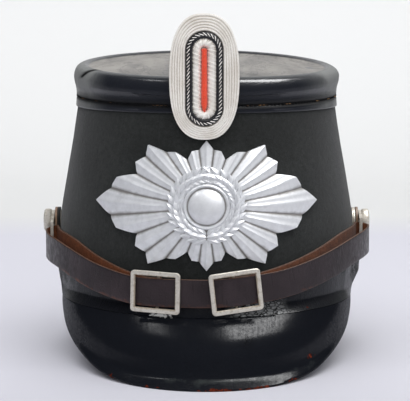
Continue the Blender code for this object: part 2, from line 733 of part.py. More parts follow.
def make_buckle(buckle):
    centre, along, across, normal = buckle_axes(buckle)
    outline = rounded_rectangle((BUCKLE_WIDTH - BUCKLE_BAR) / 2.0,
                                (BUCKLE_HEIGHT - BUCKLE_BAR) / 2.0,
                                BUCKLE_CORNER, BUCKLE_CORNER_STEPS)
    sections = []
    for u, v, (out_u, out_v) in outline:
        place = centre + along * u + across * v
        out = along * out_u + across * out_v
        ring = []
        for i in range(BUCKLE_SIDES):
            turn = 2.0 * math.pi * (i + 0.5) / BUCKLE_SIDES
            half_width = BUCKLE_BAR / 2.0 * BUCKLE_ROUND_OUT
            half_thick = BUCKLE_THICKNESS / 2.0 * BUCKLE_ROUND_OUT
            ring.append(place + out * (half_width * math.cos(turn))
                        + normal * (half_thick * math.sin(turn)))
        sections.append(ring)
    frame = finish_object(buckle.name, loft(sections, sweep_closed=True), "buckle_metal")
    boolean(frame, [centre_bar(buckle)], "UNION")


def centre_bar(buckle):
    """The cranked bar behind the strap, from the frame's top to its bottom."""
    centre, along, across, normal = buckle_axes(buckle)
    frame_v = (BUCKLE_HEIGHT - BUCKLE_BAR) / 2.0
    back = BUCKLE_STAND_OFF - CENTRE_BAR_STAND_OFF
    route = ((frame_v, 0.0), (CENTRE_BAR_REACH, back),
             (-CENTRE_BAR_REACH, back), (-frame_v, 0.0))
    sections = []
    for v, depth in route:
        place = centre + across * v - normal * depth
        lean = normal if depth else across * math.copysign(BUCKLE_ROOT_LEAN, -v)
        ring = []
        for i in range(BUCKLE_SIDES):
            turn = 2.0 * math.pi * i / BUCKLE_SIDES
            ring.append(place + CENTRE_BAR_RADIUS * (along * math.cos(turn)
                                                     + lean * math.sin(turn)))
        sections.append(ring)
    return finish_object(buckle.name + "_bar", loft(sections, cap_start=True, cap_end=True),
                         "buckle_metal")


# ---------------------------------------------------------------- side fittings

def post_base(sign):
    """Where a post's axis meets the cloth."""
    side = 90.0
    for _ in range(SOLVE_ROUNDS):
        point = crown_point(side, POST_HEIGHT)
        side += math.degrees((POST_Y - point.y) / read_smooth(
            CROWN_SECTIONS, "height", POST_HEIGHT).half_depth)
    return Vector((sign * crown_point(side, POST_HEIGHT).x, POST_Y, POST_HEIGHT))


def post_axis(sign):
    start = post_base(sign)
    return start + Vector((sign * POST_PROFILE[0].out, 0.0, 0.0)), start


def make_side_post(name, sign):
    base = post_base(sign)
    sections = []
    wider = POST_WIDER_FLANGE if sign > 0 else 0.0
    for row in POST_PROFILE:
        radius = row.radius + row.flange * wider
        ring = []
        for i in range(POST_STEPS):
            turn = 2.0 * math.pi * i / POST_STEPS
            ring.append(base + Vector((sign * row.out, radius * math.cos(turn),
                                       radius * math.sin(turn))))
        sections.append(ring)
    finish_object(name, loft(sections, cap_start=True, cap_end=True), "post_metal")


def plate(outline, holes, x_start, x_end):
    """A flat plate square to X, with holes, from its outline of (y, z) points."""
    shape = bmesh.new()
    edges = []
    for loop in [outline] + holes:
        verts = [shape.verts.new((x_start, y, z)) for y, z in loop]
        edges += [shape.edges.new((verts[i - 1], verts[i])) for i in range(len(verts))]
    bmesh.ops.triangle_fill(shape, edges=edges, use_beauty=True)
    grown = bmesh.ops.extrude_face_region(shape, geom=shape.faces[:])
    moved = [item for item in grown["geom"] if isinstance(item, bmesh.types.BMVert)]
    bmesh.ops.translate(shape, verts=moved, vec=(x_end - x_start, 0.0, 0.0))
    return shape


def arc(centre_y, centre_z, radius, first, last, steps):
    """Points of an arc in the plane of a side plate, angles from +Y towards +Z."""
    points = []
    for i in range(steps + 1):
        turn = math.radians(first + (last - first) * i / steps)
        points.append((centre_y + radius * math.cos(turn), centre_z + radius * math.sin(turn)))
    return points


def fitting_hole():
    last = 360.0 * (FITTING_HOLE_SIDES - 1) / FITTING_HOLE_SIDES
    return arc(POST_Y, POST_HEIGHT, FITTING_HOLE, 0.0, last, FITTING_HOLE_SIDES - 1)


def make_side_tab(name, sign):
    x = post_base(sign).x + sign * TAB_OUT
    top = POST_HEIGHT + TAB_ABOVE_POST
    bottom = POST_HEIGHT - TAB_BELOW_POST
    outline = arc(POST_Y, top - TAB_HALF_WIDTH, TAB_HALF_WIDTH, 0.0, 180.0,
                  FITTING_ARC_STEPS)
    outline += arc(POST_Y, bottom + TAB_HALF_WIDTH, TAB_HALF_WIDTH, 180.0, 360.0,
                   FITTING_ARC_STEPS)
    shape = plate(outline, [fitting_hole()], x, x + sign * TAB_LEATHER)
    finish_object(name, shape, "black_leather")


def make_strap_lug(name, sign, outer, inner):
    """A ring round the post's neck and a slot, whose front bar the strap goes round."""
    x = post_base(sign).x + sign * LUG_OUT
    strap_height = (outer.height + inner.height) / 2.0
    bar_y = lug_bar_y(strap_point(*outer), strap_point(*inner))
    low = strap_height - STRAP_WIDTH / 2.0 - LUG_CLEARANCE
    high = strap_height + STRAP_WIDTH / 2.0 + LUG_CLEARANCE
    front = bar_y - LUG_BAR / 2.0
    slot_front = bar_y + LUG_BAR / 2.0
    slot_back = POST_Y - LUG_RING + LUG_SLOT_WALL
    outline = arc(POST_Y, POST_HEIGHT, LUG_RING, LUG_RING_FROM, LUG_RING_TO,
                  FITTING_ARC_STEPS)
    outline += [(front, high + LUG_BAR), (front, low - LUG_BAR), (slot_back, low - LUG_BAR)]
    slot = [(slot_front, low), (slot_back, low), (slot_back, high), (slot_front, high)]
    shape = plate(outline, [fitting_hole(), slot], x, x + sign * LUG_THICKNESS)
    finish_object(name, shape, "post_metal")


# ---------------------------------------------------------------- cockade

def oval(half_width, half_height, y, power=COCKADE_INNER_POWER, steps=COCKADE_STEPS):
    """A rounded oval, upright, facing the front."""
    ring = []
    for i in range(steps):
        turn = 2.0 * math.pi * i / steps
        c, s = math.cos(turn), math.sin(turn)
        x = half_width * math.copysign(abs(c) ** (2.0 / power), c)
        z = half_height * math.copysign(abs(s) ** (2.0 / power), s)
        ring.append(Vector((COCKADE_X + x, y, COCKADE_HEIGHT + z)))
    return ring


def make_cockade_braid():
    """Backing plate whose outer part carries the ridges of the braid."""
    sections = [oval(BRAID_HALF_WIDTH, BRAID_HALF_HEIGHT, COCKADE_BACK_Y, COCKADE_OUTER_POWER)]
    rows = 2 * BRAID_RIDGES + 1
    for i in range(rows):
        inset = BRAID_RIDGE_WIDTH * i / 2.0
        part = i / (rows - 1.0)
        thick = BRAID_EDGE_THICKNESS * (1.0 - part) + BRAID_INNER_THICKNESS * part
        thick += BRAID_RIDGE_RISE if i % 2 else 0.0
        power = COCKADE_OUTER_POWER * (1.0 - part) + COCKADE_INNER_POWER * part
        sections.append(oval(BRAID_HALF_WIDTH - inset, BRAID_HALF_HEIGHT - inset,
                             COCKADE_BACK_Y - thick, power))
    inset = BRAID_RIDGE_WIDTH * BRAID_RIDGES
    inset += BRAID_INNER_LEAN
    sections.append(oval(BRAID_HALF_WIDTH - inset, BRAID_HALF_HEIGHT - inset,
                         COCKADE_BACK_Y - BACKING_THICKNESS))
    shape = loft(sections, cap_start=True, cap_end=True)
    braid = finish_object("cockade_braid", shape, "silver_braid")
    start, end = stud_axis()
    boolean(braid, [rod("cockade_stud", start, end, STUD_RADIUS)], "UNION")


def stud_axis():
    """The cockade's stud, from inside the crown to the middle of the backing."""
    start = Vector((COCKADE_X, COCKADE_BACK_Y + STUD_LENGTH, STUD_HEIGHT))
    return start, Vector((COCKADE_X, COCKADE_BACK_Y - BACKING_THICKNESS / 2.0, STUD_HEIGHT))


def make_oval_ring(ring):
    """A rounded cord laid in an oval on the backing."""
    floor_y = COCKADE_BACK_Y - BACKING_THICKNESS - GAP
    outline = []
    for i in range(RING_SIDES):
        turn = math.pi * i / (RING_SIDES - 1.0)
        outline.append((ring.width / 2.0 * (1.0 - math.cos(turn)), math.sin(turn) * ring.proud))
    sections = [oval(ring.outer_width - inset, ring.outer_height - inset, floor_y - rise)
                for inset, rise in outline]
    finish_object(ring.name, loft(sections, sweep_closed=True), ring.finish)


def make_cockade_bar():
    floor_y = COCKADE_BACK_Y - BACKING_THICKNESS - GAP
    sections = []
    for inset, rise in ((0.0, 0.0), (0.0, COCKADE_BAR_PROUD * COCKADE_BAR_SHOULDER),
                        (COCKADE_BAR_HALF_WIDTH * COCKADE_BAR_CREST, COCKADE_BAR_PROUD)):
        ring = oval(COCKADE_BAR_HALF_WIDTH - inset, COCKADE_BAR_HALF_HEIGHT - inset,
                    floor_y - rise, steps=COCKADE_BAR_STEPS)
        sections.append([point - Vector((0.0, 0.0, COCKADE_BAR_DROP)) for point in ring])
    finish_object("cockade_bar", loft(sections, cap_start=True, cap_end=True), "red_cord")


# ---------------------------------------------------------------- badge

def badge_point(across, up, stand_off):
    """A point of the badge, laid on the crown from its place on the flat pattern."""
    z = BADGE_HEIGHT + up
    row = read_smooth(CROWN_SECTIONS, "height", z)
    return crown_point(math.degrees(across / row.half_width), z, stand_off)


def badge_outline(turn):
    """Reach of the rayed outline in one direction of the flat pattern."""
    plain = (abs(math.cos(turn) / BADGE_HALF_WIDTH) ** BADGE_POWER
             + abs(math.sin(turn) / BADGE_HALF_HEIGHT) ** BADGE_POWER) ** (-1.0 / BADGE_POWER)
    point = abs((turn * BADGE_POINTS / (2.0 * math.pi) + 0.5) % 1.0 - 0.5) * 2.0
    return plain * (1.0 - BADGE_POINT_DEPTH * point)


def make_front_badge():
    steps = 2 * BADGE_RAYS
    sections = []
    for row in BADGE_RINGS:
        ring = []
        for i in range(steps):
            turn = 2.0 * math.pi * i / steps
            tip = 1.0 if i % 2 == 0 else -1.0
            reach = row.radius
            if row.part:
                edge = badge_outline(turn) * (1.0 + BADGE_RAY_DEPTH * tip)
                reach = BADGE_WREATH_RADIUS + (edge - BADGE_WREATH_RADIUS) * row.radius
            ring.append(badge_point(reach * math.cos(turn), reach * math.sin(turn),
                                    BADGE_SEAT + row.height + row.ridge * tip))
        sections.append(ring)
    back = []
    for share in BADGE_BACK_SHARES:
        ring = []
        for i in range(steps):
            turn = 2.0 * math.pi * i / steps
            tip = 1.0 if i % 2 == 0 else -1.0
            reach = share * badge_outline(turn) * (1.0 + BADGE_RAY_DEPTH * tip)
            ring.append(badge_point(reach * math.cos(turn), reach * math.sin(turn), BADGE_SEAT))
        back.append(ring)
    shape = loft(list(reversed(back)) + sections)
    shape.verts.ensure_lookup_table()
    count = len(shape.verts)
    boss_top = badge_point(0.0, 0.0, BADGE_SEAT + BADGE_BOSS_HEIGHT)
    for first, centre in ((0, badge_point(0.0, 0.0, BADGE_SEAT)), (count - steps, boss_top)):
        hub = shape.verts.new(centre)
        shape.verts.ensure_lookup_table()
        for i in range(steps):
            shape.faces.new((shape.verts[first + i], shape.verts[first + (i + 1) % steps], hub))
    badge = finish_object("front_badge", shape, "badge_metal", smooth_angle=28.0)
    posts = [rod("badge_post_" + side, *badge_post_axis(sign), BADGE_POST_RADIUS)
             for side, sign in (("left", -1), ("right", 1))]
    boolean(badge, posts, "UNION")


def badge_post_axis(sign):
    """A post of the badge, from inside the crown into the plate."""
    face = badge_point(sign * BADGE_POST_X, 0.0, 0.0)
    centre = read_smooth(CROWN_SECTIONS, "height", BADGE_HEIGHT).centre_y
    inwards = Vector((-face.x, centre - face.y, 0.0)).normalized()
    return face + inwards * BADGE_POST_LENGTH, face - inwards * (BADGE_SEAT + BADGE_EDGE)


# ---------------------------------------------------------------- the hat

def main():
    for old in list(bpy.data.objects):
        bpy.data.objects.remove(old, do_unlink=True)
    make_crown_body()
    make_crown_top()
    make_base_band()
    for peak in PEAKS:
        make_peak(peak)
    make_chin_strap()
    for buckle in BUCKLES:
        make_buckle(buckle)
    for side, sign, outer, inner in (
            ("left", -1, STRAP_OUTER_RUN[0], STRAP_INNER_LEFT[0]),
            ("right", 1, STRAP_OUTER_RUN[-1], STRAP_INNER_RIGHT[0])):
        make_side_post("side_post_" + side, sign)
        make_side_tab("side_tab_" + side, sign)
        make_strap_lug("strap_lug_" + side, sign, outer, inner)
    make_cockade_braid()
    for ring in COCKADE_RINGS:
        make_oval_ring(ring)
    make_cockade_bar()
    make_front_badge()


main()
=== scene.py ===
"""The finished look of a shako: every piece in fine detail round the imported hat, and its studio.

Places and sizes are in millimetres in the hat's own frame and become metres as a mesh is
made. An angle round the hat is in degrees, zero at the front, growing towards +X.
"""

import math

import bmesh
import bpy
import numpy as np
from bpy.props import FloatProperty, FloatVectorProperty, IntProperty, PointerProperty
from bpy.types import Operator, Panel, PropertyGroup
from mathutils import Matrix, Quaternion, Vector, noise


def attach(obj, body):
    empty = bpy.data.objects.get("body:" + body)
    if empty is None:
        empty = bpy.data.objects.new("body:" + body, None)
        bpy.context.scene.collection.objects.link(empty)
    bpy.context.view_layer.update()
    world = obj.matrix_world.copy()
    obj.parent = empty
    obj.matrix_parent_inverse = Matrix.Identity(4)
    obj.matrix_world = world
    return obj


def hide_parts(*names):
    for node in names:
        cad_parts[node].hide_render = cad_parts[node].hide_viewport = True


bl_info = {
    "name": "Shako",
    "version": (1, 0, 0),
    "blender": (4, 5, 0),
    "location": "3D View > Sidebar > Shako",
    "description": "Builds the finished pieces of a shako round its packed frame",
    "category": "Object",
}

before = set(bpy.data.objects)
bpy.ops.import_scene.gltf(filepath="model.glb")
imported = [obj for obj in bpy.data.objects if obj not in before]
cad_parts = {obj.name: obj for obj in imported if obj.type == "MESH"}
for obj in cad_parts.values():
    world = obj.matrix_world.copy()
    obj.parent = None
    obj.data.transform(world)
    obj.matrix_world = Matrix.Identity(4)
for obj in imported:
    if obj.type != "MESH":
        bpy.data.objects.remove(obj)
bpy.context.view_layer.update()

MM = 0.001
HAT_SHIFT_Y = 3.0               # puts the middle of the whole hat's box on the origin
GAP = 0.3                       # between pieces that touch


# -------- the hat's measures

# Level lines of the crown: height at the side, half width, half depth, centre y, slope
CROWN_SECTIONS = (
    (30.5, 87.0, 101.6, 0.0, -0.053),
    (53.0, 88.3, 102.6, -0.2, -0.046),
    (66.0, 89.0, 103.0, -0.5, -0.040),
    (78.0, 88.8, 102.5, -0.9, -0.034),
    (88.0, 87.7, 101.0, -1.3, -0.029),
    (110.0, 84.0, 96.3, -2.3, -0.015),
    (130.0, 80.4, 91.4, -3.2, -0.002),
    (147.0, 77.8, 88.0, -3.9, 0.010),
    (169.5, 75.0, 84.8, -4.0, 0.027),
)
CROWN_WALL = 2.6
CROWN_TOP_LEVEL = 169.5
# Scuffs on the felt: strength, angle, width, height, reach up and down
CROWN_SCUFFS = (
    (0.62, 77.0, 4.0, 133.0, 10.0), (0.9, 75.8, 0.7, 141.5, 0.8), (0.7, 40.0, 0.8, 137.0, 0.8),
)
WIDEST_LEVEL = 66.0
# The crown's lower edge: angle from the front, height
BASE_EDGE = (
    (0.0, 36.4), (30.0, 36.5), (58.0, 36.2), (74.0, 35.0), (90.0, 32.5),
    (112.0, 29.6), (135.0, 27.4), (160.0, 25.9), (180.0, 25.6),
)

RIM_HALF_WIDTH = 80.0
RIM_HALF_DEPTH = 90.4
TOP_CENTRE_Y = -4.0
PANEL_HEIGHT = 171.7
TOP_SLOPE = 0.036
TOP_LEATHER = 2.0
TOP_SAG = 2.0                   # how far the right side of the top has sunk
PANEL_INSET = 9.0               # from the rim's widest outline to the panel
NICK_ANGLE = -62.0              # where the rim is nicked
# The rolled rim: row number, inset from the widest outline, drop below the panel
RIM_PROFILE = (
    (0, PANEL_INSET, 0.0), (1, 7.7, -0.9), (2, 5.3, -1.4), (3, 2.1, 0.0),
    (4, 0.5, 2.7), (5, 0.0, 5.6), (6, 0.3, 8.6),
)
SKIRT_EDGE_HEIGHT = 147.3
SKIRT_EDGE_SLOPE = -0.0276
SKIRT_STITCH_HEIGHT = 154.0
SKIRT_WAIST_HEIGHT = 158.0
# How dark the seam's groove is, row by row from above it
SEAM_SHADOW = (0.4, 0.7, 0.9, 0.9, 0.9, 0.9, 0.8, 0.4)

BAND_TOP_LEVEL = 52.5
BAND_LEATHER = 1.2
BAND_EAR_SPREAD = 9.0
BAND_EAR_FOOT = 34.0
BAND_EAR_TOP = 47.0
BAND_EARS = ((-93.0, 1.8), (92.0, 4.6))
# Over the visor the band's foot leans outwards, to meet the visor's slope.
BAND_LEAN = 4.6
BAND_LEAN_HEIGHT = 5.2
BAND_LEAN_POWER = 1.06
BAND_LEAN_LAST = 84.0
BAND_LEAN_FADE = 34.0

VISOR_HALF_WIDTH = 88.4
VISOR_REACH = 133.0
VISOR_TIP = 81.0                # angle of a peak's tips from its middle
GUARD_HALF_WIDTH = 88.6
GUARD_REACH = 127.0
GUARD_TIP = 78.0
# A peak's profile from seam to edge: row number, part of its reach, part of its depth
VISOR_CENTRE_PROFILE = (
    (0, 0.0, 0.0), (1, 0.21, 0.14), (2, 0.41, 0.29), (3, 0.54, 0.44), (4, 0.62, 0.58),
    (5, 0.655, 0.71), (6, 0.69, 0.82), (7, 0.755, 0.905), (8, 1.0, 1.0),
)
VISOR_SIDE_PROFILE = (
    (0, 0.0, 0.0), (1, 0.16, 0.10), (2, 0.34, 0.22), (3, 0.48, 0.34), (4, 0.56, 0.45),
    (5, 0.60, 0.55), (6, 0.65, 0.64), (7, 0.76, 0.77), (8, 1.0, 1.0),
)
# Chips along the front peak's edge: how many, x, width
VISOR_CHIPS = (
    (0.30, -52.0, 4.5), (0.30, -32.0, 2.5), (0.26, 4.0, 2.5), (0.26, 30.0, 8.0),
    (0.32, 51.0, 3.0),
)
GUARD_PROFILE = (
    (0, 0.0, 0.0), (1, 0.20, 0.16), (2, 0.42, 0.38), (3, 0.62, 0.62), (4, 0.80, 0.83),
    (5, 1.0, 1.0),
)
VISOR_EDGE = (
    (0.0, 0.0), (25.0, 0.0), (33.0, 1.1), (43.0, 3.4), (52.0, 8.0), (61.0, 13.4),
    (70.0, 19.6), (76.0, 25.0), (82.0, 30.2),
)
GUARD_EDGE = (
    (0.0, 0.0), (20.0, 0.0), (35.0, 3.0), (50.0, 8.4), (62.0, 14.2), (72.0, 20.2),
    (80.0, 25.6),
)
PEAK_SEAM_SHARE = 0.97
PEAK_UNDER_INSET = 1.6
PEAK_UNDER_DROP = 1.4
PEAK_MARGIN = 3.6
# The rounded foot of a peak's edge: inset, height above the surface it stands on
PEAK_EDGE_ROUND = ((0.02, 0.9), (0.12, 0.35), (0.3, 0.08), (0.55, 0.0), (2.2, 0.0))
PEAK_EDGE_HEIGHT = 1.3

STRAP_WIDTH = 16.0
STRAP_LEATHER = 1.3
STRAP_EDGE_RADIUS = 0.42
# The strap's runs: angle, height, distance out from the crown's widest level line
STRAP_OUTER_RUN = (
    (-85.5, 63.9, 8.5), (-75.0, 64.1, 8.6), (-64.0, 63.9, 8.7), (-54.0, 61.2, 8.5),
    (-47.0, 58.0, 8.0), (-40.0, 55.2, 7.6), (-30.0, 51.9, 7.1), (-24.0, 50.7, 6.9),
    (-17.6, 50.5, 7.1), (-11.0, 50.6, 6.7), (-4.0, 50.5, 6.4), (3.0, 50.6, 6.5),
    (9.8, 51.4, 7.1), (16.5, 52.4, 6.9), (24.0, 53.7, 7.2), (31.0, 55.6, 7.6),
    (43.0, 60.0, 8.2), (56.0, 64.9, 8.8), (67.0, 67.2, 9.3), (85.5, 67.0, 9.8),
)
STRAP_INNER_LEFT = (
    (-85.5, 66.4, 1.4), (-60.0, 65.9, 1.4), (-45.0, 59.2, 1.7), (-32.0, 53.4, 2.1),
    (-23.0, 50.3, 2.1), (-17.6, 49.7, 2.0),
)
STRAP_INNER_RIGHT = (
    (9.8, 50.8, 2.0), (18.0, 52.5, 2.1), (33.0, 57.6, 2.1), (47.0, 63.4, 1.7),
    (62.0, 68.6, 1.4), (85.5, 68.4, 1.4),
)
STRAP_FOLD_BACK = 7.5
# Where the strap's lower edge is rubbed: how much, angle, width
STRAP_RUBS = ((0.50, 1.0, 9.0), (0.42, -40.0, 24.0), (0.30, 30.0, 12.0))

BUCKLE_WIDTH = 29.5
BUCKLE_HEIGHT = 23.7
BUCKLE_BAR = 2.7
BUCKLE_THICKNESS = 1.9
BUCKLE_CORNER = 1.15
CENTRE_BAR_RADIUS = 0.8
CENTRE_BAR_STAND_OFF = 3.75
CENTRE_BAR_REACH = 9.6
BUCKLE_STAND_OFF = 8.1
# Each buckle: angle, height, tilt
BUCKLES = {"left": (-17.2, 50.9, -1.2), "right": (9.8, 51.5, 6.3)}

POST_Y = 5.0
POST_HEIGHT = 75.7
POST_TURN_RADIUS = 102.5        # about the crown's half depth there
TAB_OUT = 2.7
TAB_LEATHER = 1.5
TAB_HALF_WIDTH = 7.0
TAB_ABOVE_POST = 8.2
TAB_BELOW_POST = 12.0
LUG_OUT = 4.5
LUG_THICKNESS = 1.8
LUG_RING = 6.3
LUG_BAR = 1.9
LUG_CLEARANCE = 1.2
FITTING_HOLE = 2.9

COCKADE_X = -1.2
COCKADE_HEIGHT = 170.8
COCKADE_BACK_Y = -94.8
COCKADE_POWER = 2.5
COCKADE_DROP = 1.2              # how far its inner rings sit below the middle of the outline
BRAID_HALF_WIDTH = 19.6
BRAID_HALF_HEIGHT = 35.1
BRAID_BAND = 8.2                # width of the braided border
BRAID_SQUEEZE = 1.075           # how much wider it is at the sides
BRAID_EDGE_THICKNESS = 2.6
BRAID_INNER_THICKNESS = 3.6
BACKING_THICKNESS = 1.6
CORD_WIDTH = 4.1
CORD_SILVER_INSET = 1.65        # middle of the cord's silver slivers, from its outer edge
BULLION_WIDTH = 4.6
CORD_HALF = (10.5, 26.5)
BULLION_HALF = (6.6, 22.6)
BAR_HALF = (1.72, 17.95)
BAR_DROP = 1.9
STUD_HEIGHT = 158.0

BADGE_HEIGHT = 98.8
BADGE_HALF_WIDTH = 66.0
BADGE_HALF_HEIGHT = 34.9
BADGE_POWER = 2.3
BADGE_POINTS = 8
BADGE_RAYS = 24
BADGE_POINT_DEPTH = 0.24
BADGE_RAY_DEPTH = 0.035
BADGE_SEAT = 0.65
BADGE_WREATH_RADIUS = 23.6
# The boss and the ground round it: radius, height over the badge's back, how grey
BOSS_PROFILE = (
    (18.4, 2.9, 0.8), (16.0, 2.6, 0.8), (13.4, 2.5, 0.9), (12.7, 2.9, 0.7), (12.3, 3.7, 0.1),
    (11.7, 4.15, 0.0), (11.1, 3.9, 0.1), (10.7, 3.3, 0.6), (10.3, 3.1, 0.9), (9.9, 3.3, 0.7),
    (9.4, 4.1, 0.2), (8.6, 4.9, 0.0), (7.2, 5.7, 0.0), (5.2, 6.45, 0.0), (3.2, 6.85, 0.0),
    (1.4, 7.0, 0.0),
)


# -------- what a user would change

def colour_setting(name, description, default):
    return FloatVectorProperty(
        name=name, description=description, subtype="COLOR", default=default, min=0.0, max=1.0)


def spacing_setting(name, description, default, least):
    return FloatProperty(
        name=name, description=description, default=default * MM, min=least * MM, unit="LENGTH")


def power_setting(name, description, default):
    return FloatProperty(name=name, description=description, default=default, unit="POWER")


class ShakoLook(PropertyGroup):
    """Sizes and colours of the hat's finished pieces."""

    cloth_colour: colour_setting("Cloth", "Colour of the crown's felt", (0.0165, 0.0178, 0.0170))
    leather_colour: colour_setting(
        "Black leather", "Colour of top, band and peaks", (0.008, 0.009, 0.012))
    chip_colour: colour_setting("Chips", "Bare leather under the lacquer", (0.17, 0.030, 0.014))
    strap_colour: colour_setting("Strap", "Grain side of the chin strap", (0.0195, 0.0138, 0.0155))
    suede_colour: colour_setting("Flesh side", "Inner side of the chin strap", (0.175, 0.056, 0.022))
    metal_colour: colour_setting("Fittings", "Metal of buckles and side posts", (0.68, 0.64, 0.57))
    silver_colour: colour_setting(
        "Silver thread", "Braid and bullion of the cockade", (0.97, 0.94, 0.885))
    red_colour: colour_setting("Centre bar", "Middle of the cockade", (1.0, 0.078, 0.024))
    badge_colour: colour_setting("Badge", "Metal of the front badge", (0.79, 0.80, 0.82))
    stitch_spacing: spacing_setting("Stitch spacing", "Along the seam of the leather top", 2.6, 1.0)
    thread_spacing: spacing_setting("Thread spacing", "Between the cockade's fine threads", 0.95, 0.3)
    cord_spacing: spacing_setting(
        "Cord spacing", "Between the silver slivers of the two-colour cord", 2.1, 0.8)
    leaf_pairs: IntProperty(
        name="Wreath leaves", description="Sprigs on each half of the badge's wreath",
        default=13, min=6, max=24)


class ShakoStudio(PropertyGroup):
    """Camera, floor and lights."""

    distance: FloatProperty(
        name="Camera distance", description="From the middle of the hat, level",
        default=1.150, min=0.3, unit="LENGTH")
    height: FloatProperty(
        name="Camera height", description="Above the floor", default=0.24207, min=0.01, unit="LENGTH")
    pitch: FloatProperty(
        name="Camera pitch", description="Downwards from level", default=0.1328, unit="ROTATION")
    lens: FloatProperty(
        name="Lens", description="Focal length for a 36 mm film", default=166.28, unit="CAMERA")
    floor_colour: colour_setting("Floor", "Colour of the table", (0.64, 0.634, 0.690))
    wall_colour: colour_setting("Wall", "Colour of the backdrop", (0.79, 0.79, 0.776))
    key_power: power_setting("Key light", "Power of the soft box over the front right", 3.5)
    shine_power: power_setting("Shine", "Power of the same soft box as glossy pieces mirror it", 43.0)
    ceiling_power: power_setting("Ceiling", "Power of the broad light overhead", 22.5)
    fill_power: power_setting("Front fill", "Power of the broad light by the camera", 20.0)
    wall_power: power_setting("Wall light", "Power of the light on the backdrop", 7.0)


def look():
    return bpy.context.scene.shako_look


# -------- smooth tables and surfaces

def read_smooth(table, values):
    """The columns of a table after its first, at many values of the first, on smooth curves."""
    rows = np.array(table, float)
    keys = rows[:, 0]
    values = np.clip(np.asarray(values, float), keys[0], keys[-1])
    i = np.clip(np.searchsorted(keys, values, side="right") - 1, 0, len(keys) - 2)
    before, after = np.maximum(i - 1, 0), np.minimum(i + 2, len(keys) - 1)
    span = (keys[i + 1] - keys[i])[..., None]
    low, high = rows[i], rows[i + 1]
    rise_low = (high - rows[before]) / (keys[i + 1] - keys[before])[..., None]
    rise_high = (rows[after] - low) / (keys[after] - keys[i])[..., None]
    t = (values[..., None] - keys[i][..., None]) / span
    curve = ((2 * t ** 3 - 3 * t ** 2 + 1) * low + (t ** 3 - 2 * t ** 2 + t) * span * rise_low
             + (3 * t ** 2 - 2 * t ** 3) * high + (t ** 3 - t ** 2) * span * rise_high)
    return np.moveaxis(curve[..., 1:], -1, 0)


def smooth_step(value):
    value = np.clip(value, 0.0, 1.0)
    return value * value * (3.0 - 2.0 * value)


def within(value, low, high, rise, fall):
    """One inside a range, easing in above its low end and out below its high end."""
    return smooth_step((value - low) / rise) * smooth_step((high - value) / fall)


def bump(distance, width):
    """A soft hump, one at distance zero."""
    return np.exp(-(distance / width) ** 2)


def once_round(steps):
    """Even turns in radians, the first at zero."""
    return np.arange(steps) * math.tau / steps


def turned(angle, from_angle=0.0):
    """An angle as -180 to 180 degrees from another."""
    return (angle - from_angle + 180.0) % 360.0 - 180.0


def level_point(angle, level, stand_off=0.0):
    """Points of the crown's level lines, pushed out from the cloth."""
    half_width, half_depth, centre_y, slope = read_smooth(CROWN_SECTIONS, level)
    turn = np.radians(angle)
    x = (half_width + stand_off) * np.sin(turn)
    y = centre_y - (half_depth + stand_off) * np.cos(turn)
    return np.stack([x, y, level + slope * y], -1)


def crown_point(angle, z, stand_off=0.0):
    """Points of the crown's face at true heights."""
    angle, z, stand_off = np.broadcast_arrays(angle, z, stand_off)
    level = z.astype(float)
    point = level_point(angle, level, stand_off)
    for _ in range(6):
        level = level + z - point[..., 2]
        point = level_point(angle, level, stand_off)
    point[..., 2] = z
    return point


def base_edge_height(angle):
    return read_smooth(BASE_EDGE, np.abs(turned(angle)))[0]


def top_height(y):
    return PANEL_HEIGHT + TOP_SLOPE * (y - TOP_CENTRE_Y)


def rim_point(angle, inset, drop):
    turn = np.radians(angle)
    x = (RIM_HALF_WIDTH - inset) * np.sin(turn)
    y = TOP_CENTRE_Y - (RIM_HALF_DEPTH - inset) * np.cos(turn)
    return np.stack([x, y, top_height(y) - drop], -1)


def strap_line(angle, z, stand_off):
    """Points out from the crown's widest level line."""
    point = level_point(angle, WIDEST_LEVEL, stand_off)
    return together(point[..., 0], point[..., 1], z)


def strap_normal(angle):
    half_width, half_depth = read_smooth(CROWN_SECTIONS, WIDEST_LEVEL)[:2]
    turn = math.radians(angle)
    normal = np.array([math.sin(turn) / half_width, -math.cos(turn) / half_depth, 0.0])
    return normal / np.linalg.norm(normal)


def together(*axes):
    """Points from their coordinates along each axis."""
    return np.stack(np.broadcast_arrays(*axes), -1)


def unit(vectors):
    return vectors / np.linalg.norm(vectors, axis=-1, keepdims=True)


def cloud(points, size, seed=0.0):
    """Soft unevenness at points in millimetres, about -1 to 1, in lumps of a size."""
    flat = np.reshape(points, (-1, 3)) / size + seed
    return np.array([noise.noise(Vector(p)) for p in flat]).reshape(points.shape[:-1])


# -------- making meshes

def place(name, data):
    """A new object in the scene."""
    made = bpy.data.objects.new(name, data)
    bpy.context.scene.collection.objects.link(made)
    return made


def place_smooth(name, mesh, sharp_from):
    """A new mesh object, smooth but for the edges sharper than an angle."""
    mesh.shade_smooth()
    mesh.set_sharp_from_angle(angle=math.radians(sharp_from))
    return place(name, mesh)


def note_mask(mesh, name, values):
    mesh.attributes.new(name, "FLOAT", "POINT").data.foreach_set("value", values)


def square_corners(grid):
    """What lies at the four corners of every square of a grid."""
    corners = np.stack([grid[:-1, :-1], grid[:-1, 1:], grid[1:, 1:], grid[1:, :-1]], 2)
    return corners.reshape(-1, *corners.shape[2:])


